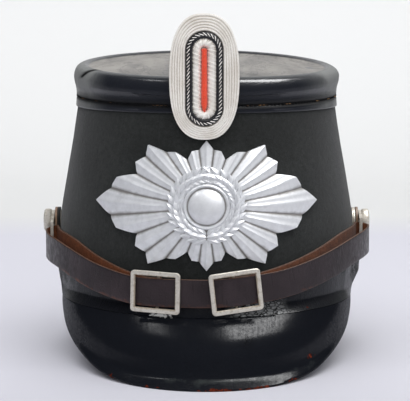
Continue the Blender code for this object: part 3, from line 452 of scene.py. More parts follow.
class Skin:
    """Points, faces and their maps, gathered from grids before they become one mesh."""

    def __init__(self):
        self.points, self.faces, self.corners = [], [], []
        self.masks = {}

    def note_points(self, points, masks):
        """Keep points and their masks, and give back the points' numbers."""
        first = sum(len(part) for part in self.points)
        self.points.append(points.reshape(-1, 3))
        count = len(self.points[-1])
        for name, values in masks.items():
            values = np.ravel(values).astype(float)
            whole = np.full(count, values[0]) if len(values) == 1 else values
            self.masks.setdefault(name, []).append((first, whole))
        return first + np.arange(count)

    def add(self, points, uv=None, wrap_rows=False, wrap_columns=False, **masks):
        """A grid of points; uv has one more row or column where the grid wraps round.

        A mask may cover the first rows only. Gives back the grid of the points' numbers.
        """
        wraps = ((0, wrap_rows), (0, wrap_columns))
        if uv is None:
            uv = grid_map(np.pad(points, (*wraps, (0, 0)), mode="wrap"))
        numbers = self.note_points(points, masks).reshape(points.shape[:2])
        self.faces += square_corners(np.pad(numbers, wraps, mode="wrap")).tolist()
        self.corners.append(square_corners(uv).reshape(-1, 2))
        return numbers

    def cap(self, ring, centre=None, **masks):
        """Close a ring of point numbers, with a fan to a centre or as one face."""
        ring = ring.tolist()
        if centre is None:
            faces = [ring]
        else:
            hub = int(self.note_points(np.asarray(centre), masks)[0])
            faces = [[a, b, hub] for a, b in zip(ring, ring[1:] + ring[:1])]
        self.faces += faces
        self.corners.append(np.zeros((sum(len(face) for face in faces), 2)))

    def object(self, name, material, sharp_from=40.0, turn_out=True):
        """The gathered grids as a named object, standing where the hat stands."""
        points = np.concatenate(self.points) * MM
        points[:, 1] += HAT_SHIFT_Y * MM
        mesh = bpy.data.meshes.new(name)
        mesh.from_pydata(points.tolist(), [], self.faces)
        map_layer = mesh.uv_layers.new(name="Laid flat")
        map_layer.data.foreach_set("uv", (np.concatenate(self.corners) * MM).ravel())
        for mask, parts in self.masks.items():
            values = np.zeros(len(points), np.float32)
            for first, whole in parts:
                values[first:first + len(whole)] = whole
            note_mask(mesh, mask, values)
        mesh.materials.append(material)
        if turn_out:
            shape = bmesh.new()
            shape.from_mesh(mesh)
            bmesh.ops.recalc_face_normals(shape, faces=shape.faces)
            shape.to_mesh(mesh)
            shape.free()
        return place_smooth(name, mesh, sharp_from)


def grid_map(grid):
    """Flat coordinates in millimetres that follow a grid's own lengths."""
    along = np.linalg.norm(np.diff(grid, axis=1), axis=-1).max(0)
    down = np.linalg.norm(np.diff(grid, axis=0), axis=-1).max(1)
    u, v = (np.concatenate([[0.0], np.cumsum(steps)]) for steps in (along, down))
    return together(u[None, :], v[:, None])


def add_closed_sweep(skin, points, uv=None, **masks):
    """A bar of closed sections, one to each column, with its two ends capped."""
    numbers = skin.add(points, uv, wrap_rows=True, **masks)
    skin.cap(numbers[:, 0])
    skin.cap(numbers[:, -1])


def add_rod(skin, points, **masks):
    """A rod of closed sections, one to each row, with its two ends capped."""
    numbers = skin.add(points, wrap_columns=True, **masks)
    skin.cap(numbers[0])
    skin.cap(numbers[-1])


def fit(piece, slot, *nodes):
    """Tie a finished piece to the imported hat."""
    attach(piece, "root")
    if nodes:
        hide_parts(*nodes)


# -------- node trees

def put(tree, kind, inputs=None, **settings):
    """A node with its settings, its inputs filled with values or joined to sockets."""
    made = tree.nodes.new(kind)
    for key, value in settings.items():
        setattr(made, key, value)
    for key, value in (inputs or {}).items():
        if isinstance(value, bpy.types.NodeSocket):
            tree.links.new(value, made.inputs[key])
        else:
            made.inputs[key].default_value = value
    return made


def follow(kind, inputs, output=0, **settings):
    """An output of a new node, put in the tree that its input sockets belong to."""
    tree = next(value.id_data for value in inputs.values() if isinstance(value, bpy.types.NodeSocket))
    return put(tree, kind, inputs, **settings).outputs[output]


def calculate(operation, a, b=0.0, c=0.0, clamp=False):
    return follow("ShaderNodeMath", {0: a, 1: b, 2: c}, operation=operation, use_clamp=clamp)


def times(a, b, clamp=False):
    return calculate("MULTIPLY", a, b, clamp=clamp)


def times_plus(a, b, c):
    return calculate("MULTIPLY_ADD", a, b, c)


def plus(a, b):
    return calculate("ADD", a, b)


def minus(a, b):
    return calculate("SUBTRACT", a, b)


def larger(a, b):
    return calculate("MAXIMUM", a, b)


def spread(value, low, high, to_low=0.0, to_high=1.0):
    """A value read from one range into another, held at its ends."""
    return follow("ShaderNodeMapRange", {"Value": value, 1: low, 2: high, 3: to_low, 4: to_high})


def tint(colour, factor=1.0):
    """A darker or lighter colour, with the full alpha that colour sockets want."""
    return (*(part * factor for part in colour[:3]), 1.0)


def blend(factor, a, b, blend_type="MIX"):
    """Two colours mixed by a factor."""
    a, b = (value if isinstance(value, bpy.types.NodeSocket) else tint(value) for value in (a, b))
    return follow("ShaderNodeMix", {0: factor, 6: a, 7: b}, 2, data_type="RGBA", blend_type=blend_type)


def darken(colour, amount):
    """A colour multiplied by a value."""
    grey = follow("ShaderNodeCombineColor", {0: amount, 1: amount, 2: amount})
    return blend(1.0, colour, grey, "MULTIPLY")


def speckle(vector, scale, detail=3.0, roughness=0.5, distortion=0.0):
    return follow("ShaderNodeTexNoise", {"Vector": vector, "Scale": scale, "Detail": detail,
                                         "Roughness": roughness, "Distortion": distortion})


def stretched(vector, scale):
    return follow("ShaderNodeMapping", {"Vector": vector, "Scale": scale})


def start_group(name, output, scale, **inputs):
    """A shader node group with a Vector, a Scale and other inputs: its tree and its sockets."""
    tree = bpy.data.node_groups.new(name, "ShaderNodeTree")
    add = tree.interface.new_socket
    add(name="Vector", in_out="INPUT", socket_type="NodeSocketVector")
    for socket, value in {"Scale": scale, **inputs}.items():
        add(name=socket, in_out="INPUT", socket_type="NodeSocketFloat").default_value = value
    add(name=output, in_out="OUTPUT", socket_type="NodeSocketFloat")
    return tree, put(tree, "NodeGroupInput").outputs


def use_group(name, **inputs):
    """What a shared effect puts out in a material."""
    return follow("ShaderNodeGroup", inputs, node_tree=bpy.data.node_groups[name])


def make_grain_group():
    """Fine leather grain: a net of pores with soft unevenness under it."""
    tree, given = start_group("Leather grain", "Height", 900.0, Unevenness=0.4)
    pores = follow(
        "ShaderNodeTexVoronoi", {"Vector": given["Vector"], "Scale": given["Scale"]}, "Distance",
        feature="SMOOTH_F1")
    waves = speckle(given["Vector"], times(given["Scale"], 0.12), 4.0)
    put(tree, "NodeGroupOutput", {"Height": times_plus(waves, given["Unevenness"], pores)})


def make_scratch_group():
    """Thin straight scratches in two directions."""
    tree, given = start_group("Scratches", "Mask", 60.0, Amount=0.5)
    lines = []
    for turn, length in ((0.6, 0.05), (-1.1, 0.07)):
        laid = follow(
            "ShaderNodeMapping",
            {"Vector": given["Vector"], "Rotation": (0.0, 0.0, turn), "Scale": (length, 1.0, 1.0)})
        far = calculate("ABSOLUTE", minus(speckle(laid, given["Scale"], 2.0, 0.7), 0.5))
        lines.append(spread(far, 0.0, 0.012, 1.0, 0.0))
    here = speckle(given["Vector"], times(given["Scale"], 0.3), 2.0)
    low = minus(0.75, times(given["Amount"], 0.3))
    put(tree, "NodeGroupOutput", {"Mask": times(larger(*lines), spread(here, low, plus(low, 0.06)))})


def make_crack_group():
    """A net of cracks in lacquer."""
    tree, given = start_group("Lacquer cracks", "Mask", 220.0, Width=0.05)
    places = given["Vector"]
    unrest = follow("ShaderNodeTexNoise", {"Vector": places, "Scale": 300.0}, 1)
    unrest = follow("ShaderNodeVectorMath", {0: unrest, "Scale": 0.0012}, operation="SCALE")
    bent = follow("ShaderNodeVectorMath", {0: places, 1: unrest}, operation="ADD")
    edge = follow(
        "ShaderNodeTexVoronoi", {"Vector": bent, "Scale": given["Scale"]}, "Distance",
        feature="DISTANCE_TO_EDGE")
    put(tree, "NodeGroupOutput", {"Mask": spread(edge, 0.0, given["Width"], 1.0, 0.0)})


def make_patch_group(name, scale, detail, roughness, least, gain, softness):
    """Patches that crowd where a mask is high, with hard or soft edges."""
    tree, given = start_group(name, "Mask", scale, Where=0.0)
    patches = speckle(given["Vector"], given["Scale"], detail, roughness)
    limit = minus(least, times(given["Where"], gain))
    put(tree, "NodeGroupOutput", {"Mask": spread(patches, limit, plus(limit, softness))})


def make_shared_effects():
    make_grain_group()
    make_scratch_group()
    make_crack_group()
    make_patch_group("Chips", 400.0, 4.0, 0.6, 0.92, 0.5, 0.03)
    make_patch_group("Worn blotches", 60.0, 6.0, 0.65, 0.80, 0.55, 0.22)


def start_material(name, **settings):
    """A material with its shader's plain settings, its tree and the places on the piece."""
    material = bpy.data.materials.get(name) or bpy.data.materials.new(name)
    material.use_nodes = True
    tree = material.node_tree
    tree.nodes.clear()
    shader = put(tree, "ShaderNodeBsdfPrincipled", name="Shader")
    for key, value in settings.items():
        socket = key.replace("_", " ").title().replace("Ior", "IOR")
        shader.inputs[socket].default_value = value
    put(tree, "ShaderNodeOutputMaterial", {"Surface": shader.outputs[0]})
    return material, tree, put(tree, "ShaderNodeTexCoord").outputs["Object"]


def finish_material(material, height=None, distance=0.0002, strength=1.0, **sockets):
    """Join colours, values and relief to a material's shader."""
    tree = material.node_tree
    shader = tree.nodes["Shader"]
    names = {"colour": "Base Color", "coat": "Coat Weight"}
    for key, value in sockets.items():
        tree.links.new(value, shader.inputs[names.get(key, key.title())])
    if height is not None:
        relief = follow(
            "ShaderNodeBump", {"Height": height, "Distance": distance, "Strength": strength})
        tree.links.new(relief, shader.inputs["Normal"])
    return material


def flat_places(tree):
    return put(tree, "ShaderNodeUVMap", uv_map="Laid flat").outputs[0]


def mask_of(tree, name):
    return put(tree, "ShaderNodeAttribute", attribute_name=name).outputs["Fac"]


# -------- materials

def felt_material():
    """Dark green-grey felt with a short nap, faint fading and a few specks of lint."""
    material, tree, places = start_material(
        "Green-grey felt", sheen_weight=0.16, sheen_roughness=0.45, roughness=0.95,
        specular_ior_level=0.12)
    base = look().cloth_colour
    faded = [part * 1.4 + 0.002 for part in base]
    fade = spread(speckle(places, 26.0, 4.0), 0.35, 0.75)
    colour = blend(fade, base, faded)
    fibres = speckle(places, 1500.0, 5.0, 0.75)
    nap_shadow = times(
        spread(fibres, 0.3, 0.7, 0.66, 1.30),
        spread(speckle(places, 420.0, 3.0, 0.6), 0.3, 0.7, 0.78, 1.2))
    colour = darken(colour, nap_shadow)
    lint = follow("ShaderNodeTexVoronoi", {"Vector": places, "Scale": 240.0}, "Distance")
    speck = spread(lint, 0.03, 0.09, 1.0, 0.0)
    rare = spread(speckle(places, 55.0, 2.0), 0.60, 0.66)
    scuff = mask_of(tree, "scuff")
    speck = times(speck, larger(rare, scuff))
    scuffed = use_group("Chips", Vector=places, Scale=420.0, Where=scuff)
    speck = larger(times(speck, 0.5), scuffed)
    colour = blend(speck, colour, (0.16, 0.165, 0.155))
    nap = times_plus(speckle(places, 420.0, 4.0), 0.7, fibres)
    return finish_material(material, nap, 0.0004, 0.55, colour=colour)


def top_material():
    """Polished black leather, worn grey and dull at the sides of the rim and dull on the panel, whose
    grey is partly wear and partly a painted reflection; painted shade in the seam's groove and the
    rim's nick.
    """
    material, tree, places = start_material(
        "Top leather", specular_ior_level=0.22, coat_roughness=0.18, coat_ior=1.45)
    panel, wear = mask_of(tree, "panel"), mask_of(tree, "wear")
    groove_shade = mask_of(tree, "groove")
    blotches = use_group("Worn blotches", Vector=places, Scale=70.0, Where=wear)
    blotches = times(times_plus(blotches, 0.5, 0.5), wear, clamp=True)
    scratches = use_group("Scratches", Vector=places, Scale=70.0, Amount=0.55)
    grain = use_group("Leather grain", Vector=places, Scale=950.0, Unevenness=0.8)
    black = tint(look().leather_colour, 1.7)
    colour = blend(blotches, black, (0.190, 0.195, 0.188))
    # The panel's grey-taupe is partly wear and partly a painted reflection of the bright room: streaky,
    # darker along its folds as painted shade, and fading towards the front.
    panel_wear_and_reflection = spread(speckle(stretched(places, (1.2, 0.25, 1.0)), 60.0, 5.0, 0.62), 0.32, 0.62, 0.52, 1.0)
    folds = speckle(stretched(places, (1.0, 0.30, 1.0)), 34.0, 4.0, 0.7, 1.6)
    folds = spread(calculate("ABSOLUTE", minus(folds, 0.5)), 0.0, 0.03, 0.62, 1.0)
    panel_wear_and_reflection = times(panel_wear_and_reflection, folds)
    front = spread(follow("ShaderNodeSeparateXYZ", {0: places}, "Y"), -0.095, -0.02, 0.30, 1.0)
    panel_wear_and_reflection = times(panel_wear_and_reflection, front)
    colour = blend(times(panel, panel_wear_and_reflection), colour, (0.292, 0.272, 0.244))
    colour = blend(times(scratches, 0.5), colour, (0.13, 0.13, 0.13))
    # Painted shade in the seam's groove and in the rim's nick.
    colour = blend(groove_shade, colour, (0.004, 0.004, 0.004))
    rough = times_plus(blotches, 0.30, 0.24)
    rough = times_plus(panel, 0.16, rough)
    rough = larger(rough, groove_shade)
    rough = times_plus(speckle(places, 160.0, 4.0), 0.14, rough)
    pits = times_plus(speckle(places, 85.0, 5.0, 0.6), 2.6, grain)
    height = minus(pits, times(scratches, 0.6))
    dull = larger(panel, larger(blotches, groove_shade))
    coat = minus(0.36, times(dull, 0.33))
    return finish_material(material, height, 0.00012, 0.8, colour=colour, roughness=rough, coat=coat)


def lacquer_material(name, gloss, shine):
    """Black lacquer on leather: brush streaks, cracks, red-brown chips, a flake painted pale as a glint
    and a crazed patch painted pale as a highlight.
    """
    material, tree, places = start_material(
        name, coat_roughness=0.215, coat_ior=1.42, specular_ior_level=shine)
    flat = flat_places(tree)
    chips_here, cracks_here = mask_of(tree, "chips"), mask_of(tree, "cracks")
    flake_glint_here, wear = mask_of(tree, "flake"), mask_of(tree, "wear")
    streaks = speckle(stretched(flat, (1.0, 0.06, 1.0)), 900.0, 3.0, 0.6)
    soft = speckle(places, 24.0, 4.0)
    fine = speckle(places, 700.0, 5.0, 0.7)
    chips = use_group("Chips", Vector=places, Scale=260.0, Where=chips_here)
    cracks = use_group(
        "Lacquer cracks", Vector=stretched(flat, (0.75, 1.3, 1.0)), Scale=400.0, Width=0.12)
    cracks = times(cracks, cracks_here)
    flake_glints = use_group("Chips", Vector=places, Scale=620.0, Where=flake_glint_here)
    scratches = use_group("Scratches", Vector=flat, Scale=55.0, Amount=0.25)
    blotches = use_group("Worn blotches", Vector=places, Scale=90.0, Where=wear)
    colour = blend(blotches, look().leather_colour, (0.030, 0.034, 0.034))
    colour = blend(times(scratches, 0.35), colour, (0.10, 0.10, 0.10))
    # Painted highlight: the crazed patch at the foot of the band is painted pale grey, a little grainy.
    crazed = times(mask_of(tree, "crazed"), spread(fine, 0.35, 0.6, 0.55, 1.0))
    colour = blend(crazed, colour, (0.20, 0.205, 0.205))
    colour = blend(cracks, colour, (0.004, 0.004, 0.004))
    # Painted glint: the flake along the band's seam is painted near white.
    colour = blend(flake_glints, colour, (0.75, 0.75, 0.73))
    bare = look().chip_colour
    bare = blend(spread(speckle(places, 700.0, 3.0), 0.35, 0.65), tint(bare, 0.35), bare)
    colour = blend(chips, colour, bare)
    broken = larger(chips, larger(cracks, flake_glints))
    grainy = plus(spread(fine, 0.36, 0.64, 0.0, 0.9), spread(streaks, 0.36, 0.64, 0.35, 0.85))
    whole = minus(minus(1.0, broken), times(blotches, 0.62))
    coat = times(times(grainy, gloss), whole, clamp=True)
    rough = spread(soft, 0.3, 0.7, 0.26, 0.40)
    rough = times_plus(blotches, 0.22, rough)
    rough = larger(rough, times(broken, 0.75))
    height = times_plus(fine, 3.6, times(streaks, 2.4))
    height = minus(height, times(broken, 2.0))
    return finish_material(material, height, 0.00024, 0.9, colour=colour, roughness=rough, coat=coat)


def strap_material():
    """Polished plum-brown leather with rubbed edges, tan cut edges and a suede flesh side."""
    material, tree, places = start_material("Strap leather", roughness=0.4, specular_ior_level=0.30)
    flat = flat_places(tree)
    flesh, cut, rub = (mask_of(tree, name) for name in ("flesh", "cut", "rub"))
    creases = speckle(stretched(flat, (1.0, 0.10, 1.0)), 620.0, 4.0, 0.65)
    crease = spread(creases, 0.56, 0.70)
    soft = speckle(places, 60.0, 4.0)
    dark = look().strap_colour
    colour = blend(spread(soft, 0.35, 0.7), dark, tint(dark, 1.7))
    rubbed = use_group("Worn blotches", Vector=stretched(flat, (0.7, 1.0, 1.0)), Scale=190.0, Where=rub)
    colour = blend(times(rubbed, 0.75), colour, (0.125, 0.042, 0.020))
    # Painted shade: the creases are darkened.
    colour = blend(times(crease, 0.55), colour, (0.012, 0.008, 0.009))
    hair = speckle(flat, 900.0, 5.0, 0.8)
    raw = look().suede_colour
    suede = blend(spread(hair, 0.3, 0.7), tint(raw, 0.28), tint(raw, 1.45))
    tone = spread(speckle(places, 190.0, 4.0, 0.65), 0.36, 0.64, 0.0, 0.8)
    suede = blend(tone, suede, tint(raw, 0.5))
    colour = blend(flesh, colour, suede)
    tan = blend(spread(hair, 0.35, 0.65), (0.050, 0.024, 0.016), (0.17, 0.085, 0.050))
    colour = blend(cut, colour, tan)
    rough = spread(speckle(places, 300.0, 4.0), 0.3, 0.7, 0.28, 0.50)
    matt = larger(flesh, cut)
    rough = larger(rough, times(matt, 0.92))
    grain = use_group("Leather grain", Vector=flat, Scale=1300.0, Unevenness=0.6)
    height = minus(grain, times(crease, 1.3))
    height = times_plus(times(hair, flesh), 2.5, height)
    return finish_material(material, height, 0.00016, 0.7, colour=colour, roughness=rough)


def metal_material(name, colour, dirt_colour, roughness=(0.30, 0.48), grime=0.5):
    """Worn silvery metal, its recesses and worn spots darker and warmer."""
    material, tree, places = start_material(name, metallic=1.0)
    worn = mask_of(tree, "worn")
    soft = speckle(places, 320.0, 5.0, 0.65)
    dirt = use_group("Worn blotches", Vector=places, Scale=420.0, Where=larger(worn, grime))
    shade = blend(spread(soft, 0.3, 0.7), colour, tint(colour, 0.84))
    shade = blend(times(dirt, 0.85), shade, dirt_colour)
    scratches = use_group("Scratches", Vector=places, Scale=260.0, Amount=0.8)
    rough = spread(soft, 0.3, 0.7, *roughness)
    rough = times_plus(dirt, 0.18, rough)
    height = minus(soft, times(scratches, 0.5))
    metal = minus(0.40, times(dirt, 0.25))
    return finish_material(
        material, height, 0.00008, 0.5, colour=shade, roughness=rough, metallic=metal)


def badge_material():
    """Matt silvered casting, whiter on its high places and greyer in its hollows."""
    material, tree, places = start_material("Badge silver", metallic=1.0)
    low = mask_of(tree, "hollow")
    soft = speckle(places, 210.0, 5.0, 0.6)
    bright = look().badge_colour
    colour = blend(spread(soft, 0.35, 0.7, 0.0, 0.35), bright, tint(bright, 0.55))
    grime = spread(times_plus(soft, 0.5, low), 0.55, 1.15)
    colour = blend(grime, colour, (0.20, 0.19, 0.18))
    frost = speckle(places, 2600.0, 3.0, 0.7)
    rough = spread(soft, 0.3, 0.7, 0.42, 0.56)
    metal = minus(0.36, times(grime, 0.2))
    return finish_material(
        material, frost, 0.00006, 0.45, colour=colour, roughness=rough, metallic=metal)


def thread_material(name, colour, shadow_colour, roughness=0.5):
    """Fine wound thread, with warm shadows and a little tarnish."""
    material, _, places = start_material(name, sheen_weight=0.2, sheen_roughness=0.4)
    tarnish = spread(speckle(places, 85.0, 5.0, 0.6), 0.42, 0.72)
    fine = speckle(places, 2400.0, 3.0, 0.6)
    shade = blend(times(tarnish, 0.4), colour, shadow_colour)
    shade = blend(spread(fine, 0.25, 0.75, 0.22, 0.0), shade, tint(shadow_colour, 0.5))
    rough = spread(fine, 0.3, 0.7, roughness - 0.08, roughness + 0.14)
    return finish_material(material, fine, 0.00008, 0.6, colour=shade, roughness=rough)


def seam_thread_material():
    """Waxed black thread, rubbed to its tan core here and there."""
    material, _, places = start_material("Seam thread", roughness=0.9, specular_ior_level=0.0)
    rubbed = spread(speckle(places, 90.0, 3.0), 0.56, 0.64)
    front = spread(follow("ShaderNodeSeparateXYZ", {0: places}, "X"), -0.02, 0.06, 0.25, 1.0)
    colour = blend(times(rubbed, front), (0.010, 0.010, 0.011), (0.26, 0.15, 0.075))
    return finish_material(material, colour=colour)


def red_thread_material():
    """Fine red thread wound into ribs."""
    material, _, places = start_material(
        "Red thread", sheen_weight=0.25, sheen_roughness=0.5, roughness=0.62)
    ribs = speckle(stretched(places, (0.12, 1.0, 1.0)), 2600.0, 3.0, 0.6)
    red = look().red_colour
    colour = blend(spread(ribs, 0.3, 0.7), tint(red, 0.62), red)
    return finish_material(material, ribs, 0.00018, 0.8, colour=colour)


def tab_material():
    """Matt black leather with a tan cut edge."""
    material, tree, places = start_material("Tab leather", roughness=0.6)
    cut = mask_of(tree, "cut")
    grain = use_group("Leather grain", Vector=places, Scale=1400.0, Unevenness=0.8)
    soft = speckle(places, 420.0, 4.0)
    black = blend(soft, (0.010, 0.010, 0.010), (0.030, 0.028, 0.026))
    tan = blend(soft, (0.16, 0.085, 0.050), (0.40, 0.27, 0.18))
    rough = spread(soft, 0.3, 0.7, 0.45, 0.65)
    return finish_material(
        material, grain, 0.00012, 0.7, colour=blend(cut, black, tan), roughness=rough)


# -------- geometry node trees

def geometry_tree(name, inputs):
    """A geometry node tree with named inputs, and the sockets of its group input."""
    tree = bpy.data.node_groups.get(name)
    if tree is not None:
        return tree, None
    tree = bpy.data.node_groups.new(name, "GeometryNodeTree")
    add = tree.interface.new_socket
    add(name="Geometry", in_out="OUTPUT", socket_type="NodeSocketGeometry")
    add(name="Geometry", in_out="INPUT", socket_type="NodeSocketGeometry")
    for socket, kind in inputs.items():
        add(name=socket, in_out="INPUT", socket_type="NodeSocket" + kind)
    return tree, put(tree, "NodeGroupInput").outputs


def path_directions(tree):
    """The path's own direction, and the direction out from what it lies on."""
    outward = put(tree, "GeometryNodeInputNamedAttribute", {"Name": "outward"},
                  data_type="FLOAT_VECTOR").outputs[0]
    return put(tree, "GeometryNodeInputTangent").outputs[0], outward


def end_tree(tree, geometry, material):
    real = follow("GeometryNodeRealizeInstances", {"Geometry": geometry})
    real = follow("GeometryNodeSetMaterial", {"Geometry": real, "Material": material})
    put(tree, "NodeGroupOutput", {"Geometry": real})
    return tree


def row_tree():
    """Copies of one item along a path, turned to it and standing out from what it lies on."""
    tree, given = geometry_tree("Row along a path", {
        "Item": "Object", "Spacing": "Float", "Slant": "Float", "Sway": "Float",
        "Size change": "Float", "Material": "Material"})
    if given is None:
        return tree
    curve = follow("GeometryNodeMeshToCurve", {"Mesh": given["Geometry"]})
    curve = follow(
        "GeometryNodeResampleCurve", {"Curve": curve, "Length": given["Spacing"]}, mode="LENGTH")
    tangent, outward = path_directions(tree)
    turn = follow(
        "FunctionNodeAxesToRotation", {0: outward, 1: tangent}, primary_axis="Z", secondary_axis="X")
    chance, other = (put(tree, "FunctionNodeRandomValue", {"Seed": seed},
                         data_type="FLOAT").outputs[1] for seed in (0, 7))
    lean = plus(times(minus(chance, 0.5), given["Sway"]), given["Slant"])
    by = follow("FunctionNodeEulerToRotation", {0: follow("ShaderNodeCombineXYZ", {2: lean})})
    turn = follow("FunctionNodeRotateRotation", {0: turn, 1: by}, rotation_space="LOCAL")
    size = times_plus(minus(other, 0.5), given["Size change"], 1.0)
    item = follow("GeometryNodeObjectInfo", {"Object": given["Item"], "As Instance": True}, "Geometry")
    placed = follow("GeometryNodeInstanceOnPoints", {
        "Points": curve, "Instance": item, "Rotation": turn,
        "Scale": follow("ShaderNodeCombineXYZ", {0: size, 1: size, 2: size})})
    return end_tree(tree, placed, given["Material"])


def wound_tree():
    """Strands twisted round a path."""
    tree, given = geometry_tree("Wound round a path", {
        "Strands": "Int", "Turns": "Int", "Points": "Int", "Half width": "Float",
        "Half height": "Float", "Strand radius": "Float", "Sides": "Int",
        "Material": "Material"})
    if given is None:
        return tree
    curve = follow("GeometryNodeMeshToCurve", {"Mesh": given["Geometry"]})
    curve = follow(
        "GeometryNodeResampleCurve", {"Curve": curve, "Count": given["Points"]}, mode="COUNT")
    copies = put(tree, "GeometryNodeDuplicateElements",
                 {"Geometry": curve, "Amount": given["Strands"]}, domain="SPLINE").outputs
    factor = put(tree, "GeometryNodeSplineParameter").outputs["Factor"]
    share = calculate("DIVIDE", copies["Duplicate Index"], given["Strands"])
    phase = times(times_plus(factor, given["Turns"], share), math.tau)
    tangent, outward = path_directions(tree)
    side = follow("ShaderNodeVectorMath", {0: tangent, 1: outward}, operation="CROSS_PRODUCT")
    parts = []
    for way, wave, reach in (
            (outward, "COSINE", given["Half height"]), (side, "SINE", given["Half width"])):
        length = times(calculate(wave, phase), reach)
        parts.append(follow("ShaderNodeVectorMath", {0: way, "Scale": length}, operation="SCALE"))
    offset = follow("ShaderNodeVectorMath", {0: parts[0], 1: parts[1]}, operation="ADD")
    wound = follow("GeometryNodeSetPosition", {"Geometry": copies[0], "Offset": offset})
    ring = follow("GeometryNodeCurvePrimitiveCircle", {
        "Resolution": given["Sides"], "Radius": given["Strand radius"]})
    tube = follow("GeometryNodeCurveToMesh", {"Curve": wound, "Profile Curve": ring})
    return end_tree(tree, tube, given["Material"])


def run_tree(name, tree, points, outward, settings, closed=True, sharp_from=60.0):
    """Run a tree on a path, keep its result as a plain mesh object and drop the tree's item."""
    path = bpy.data.meshes.new(name + "_path")
    world = points * MM + np.array([0.0, HAT_SHIFT_Y * MM, 0.0])
    count = len(points)
    edges = [(i, (i + 1) % count) for i in range(count if closed else count - 1)]
    path.from_pydata(world.tolist(), edges, [])
    layer = path.attributes.new("outward", "FLOAT_VECTOR", "POINT")
    layer.data.foreach_set("vector", np.broadcast_to(outward, points.shape).astype(np.float32).ravel())
    carrier = place(name + "_carrier", path)
    modifier = carrier.modifiers.new("Build", "NODES")
    modifier.node_group = tree
    sockets = {item.name: item.identifier for item in tree.interface.items_tree
               if item.item_type == "SOCKET" and item.in_out == "INPUT"}
    for key, value in settings.items():
        modifier[sockets[key]] = value
    graph = bpy.context.evaluated_depsgraph_get()
    mesh = bpy.data.meshes.new_from_object(carrier.evaluated_get(graph), depsgraph=graph)
    bpy.data.objects.remove(carrier, do_unlink=True)
    if "Item" in settings:
        bpy.data.objects.remove(settings["Item"], do_unlink=True)
    mesh.name = name
    if "outward" in mesh.attributes:
        mesh.attributes.remove(mesh.attributes["outward"])
    return place_smooth(name, mesh, sharp_from)


def item_object(name, shape):
    """A small mesh in metres round its own origin, for a tree to copy."""
    mesh = bpy.data.meshes.new(name)
    shape.to_mesh(mesh)
    shape.free()
    return place(name, mesh)


def arched_thread(name, length, radius, rise, sides=5, steps=6, along_path=False):
    """One stitch or thread: a short tube arched over Y, its ends let into the surface."""
    shape = bmesh.new()
    sideways = Vector((1.0, 0.0, 0.0))
    rows = []
    for i in range(steps + 1):
        part = 2.0 * i / steps - 1.0
        centre = Vector((0.0, part * length / 2.0, rise * (1.0 - part * part)))
        up = sideways.cross(Vector((0.0, 1.0, -4.0 * rise * part / length)).normalized())
        thick = radius * (1.0 - 0.45 * part ** 4)
        arms = [sideways * math.cos(turn) + up * math.sin(turn)
                for turn in (math.tau * k / sides for k in range(sides))]
        rows.append([shape.verts.new((centre + thick * arm) * MM) for arm in arms])
    for a, b in zip(rows, rows[1:]):
        for k in range(sides):
            shape.faces.new((a[k], a[(k + 1) % sides], b[(k + 1) % sides], b[k]))
    shape.faces.new(rows[0][::-1])
    shape.faces.new(rows[-1])
    bmesh.ops.recalc_face_normals(shape, faces=shape.faces)
    if along_path:
        for vert in shape.verts:
            vert.co = (vert.co.y, -vert.co.x, vert.co.z)
    return item_object(name, shape)


def join_pieces(name, pieces):
    """Several objects made one, in the first one's place."""
    bpy.ops.object.select_all(action="DESELECT")
    for piece in pieces:
        piece.select_set(True)
    bpy.context.view_layer.objects.active = pieces[0]
    bpy.ops.object.join()
    joined = pieces[0]
    joined.name = name
    joined.data.name = name
    return joined


# -------- crown

def angles_around(count=288):
    """Even angles round the hat, one for each column of points."""
    return np.arange(count) * 360.0 / count


def make_crown():
    angle = angles_around()[None, :]
    low, high = base_edge_height(angle), level_point(angle, CROWN_TOP_LEVEL)[..., 2]
    share = np.linspace(0.0, 1.0, 74)[:, None]
    z = low + (high - low) * share
    plain = crown_point(angle, z)
    drape = 0.16 * cloud(plain, 34.0) + 0.07 * cloud(plain, 9.0, 4.0)
    outer = crown_point(angle, z, drape * within(z, 56.0, 148.0, 8.0, 6.0))
    back = np.linspace(1.0, 0.0, 30)[:, None]
    inner = crown_point(angle, low + (high - low) * back, -CROWN_WALL)
    scuff = sum(strength * bump(turned(angle, middle), width) * bump(z - height, reach)
                for strength, middle, width, height, reach in CROWN_SCUFFS)
    skin = Skin()
    skin.add(np.concatenate([outer, inner]), wrap_rows=True, wrap_columns=True, scuff=scuff)
    fit(skin.object("crown_felt", felt_material()), "crown_cloth", "crown_body")


# -------- leather top

def skirt_rows(angle):
    """The skirt of the leather top from under the rim to its lower edge, and back inside."""
    edge = SKIRT_EDGE_HEIGHT + SKIRT_EDGE_SLOPE * crown_point(angle, SKIRT_EDGE_HEIGHT)[..., 1]
    stitch = SKIRT_STITCH_HEIGHT
    rows = [
        (SKIRT_WAIST_HEIGHT + 1.6, 2.7), (SKIRT_WAIST_HEIGHT, 2.2), (stitch + 2.2, 1.85),
        (stitch + 1.2, 1.7), (stitch + 0.6, 1.35), (stitch + 0.25, 0.9), (stitch - 0.25, 0.8),
        (stitch - 0.6, 1.0), (stitch - 1.1, 1.3), (stitch - 1.8, 1.45), (stitch - 2.8, 1.35)]
    points = [crown_point(angle, z, out) for z, out in rows]
    for rise, out in ((1.6, 1.25), (0.8, 1.2), (0.25, 1.0), (0.0, 0.7), (0.0, GAP)):
        points.append(crown_point(angle, edge + rise, out))
    return points


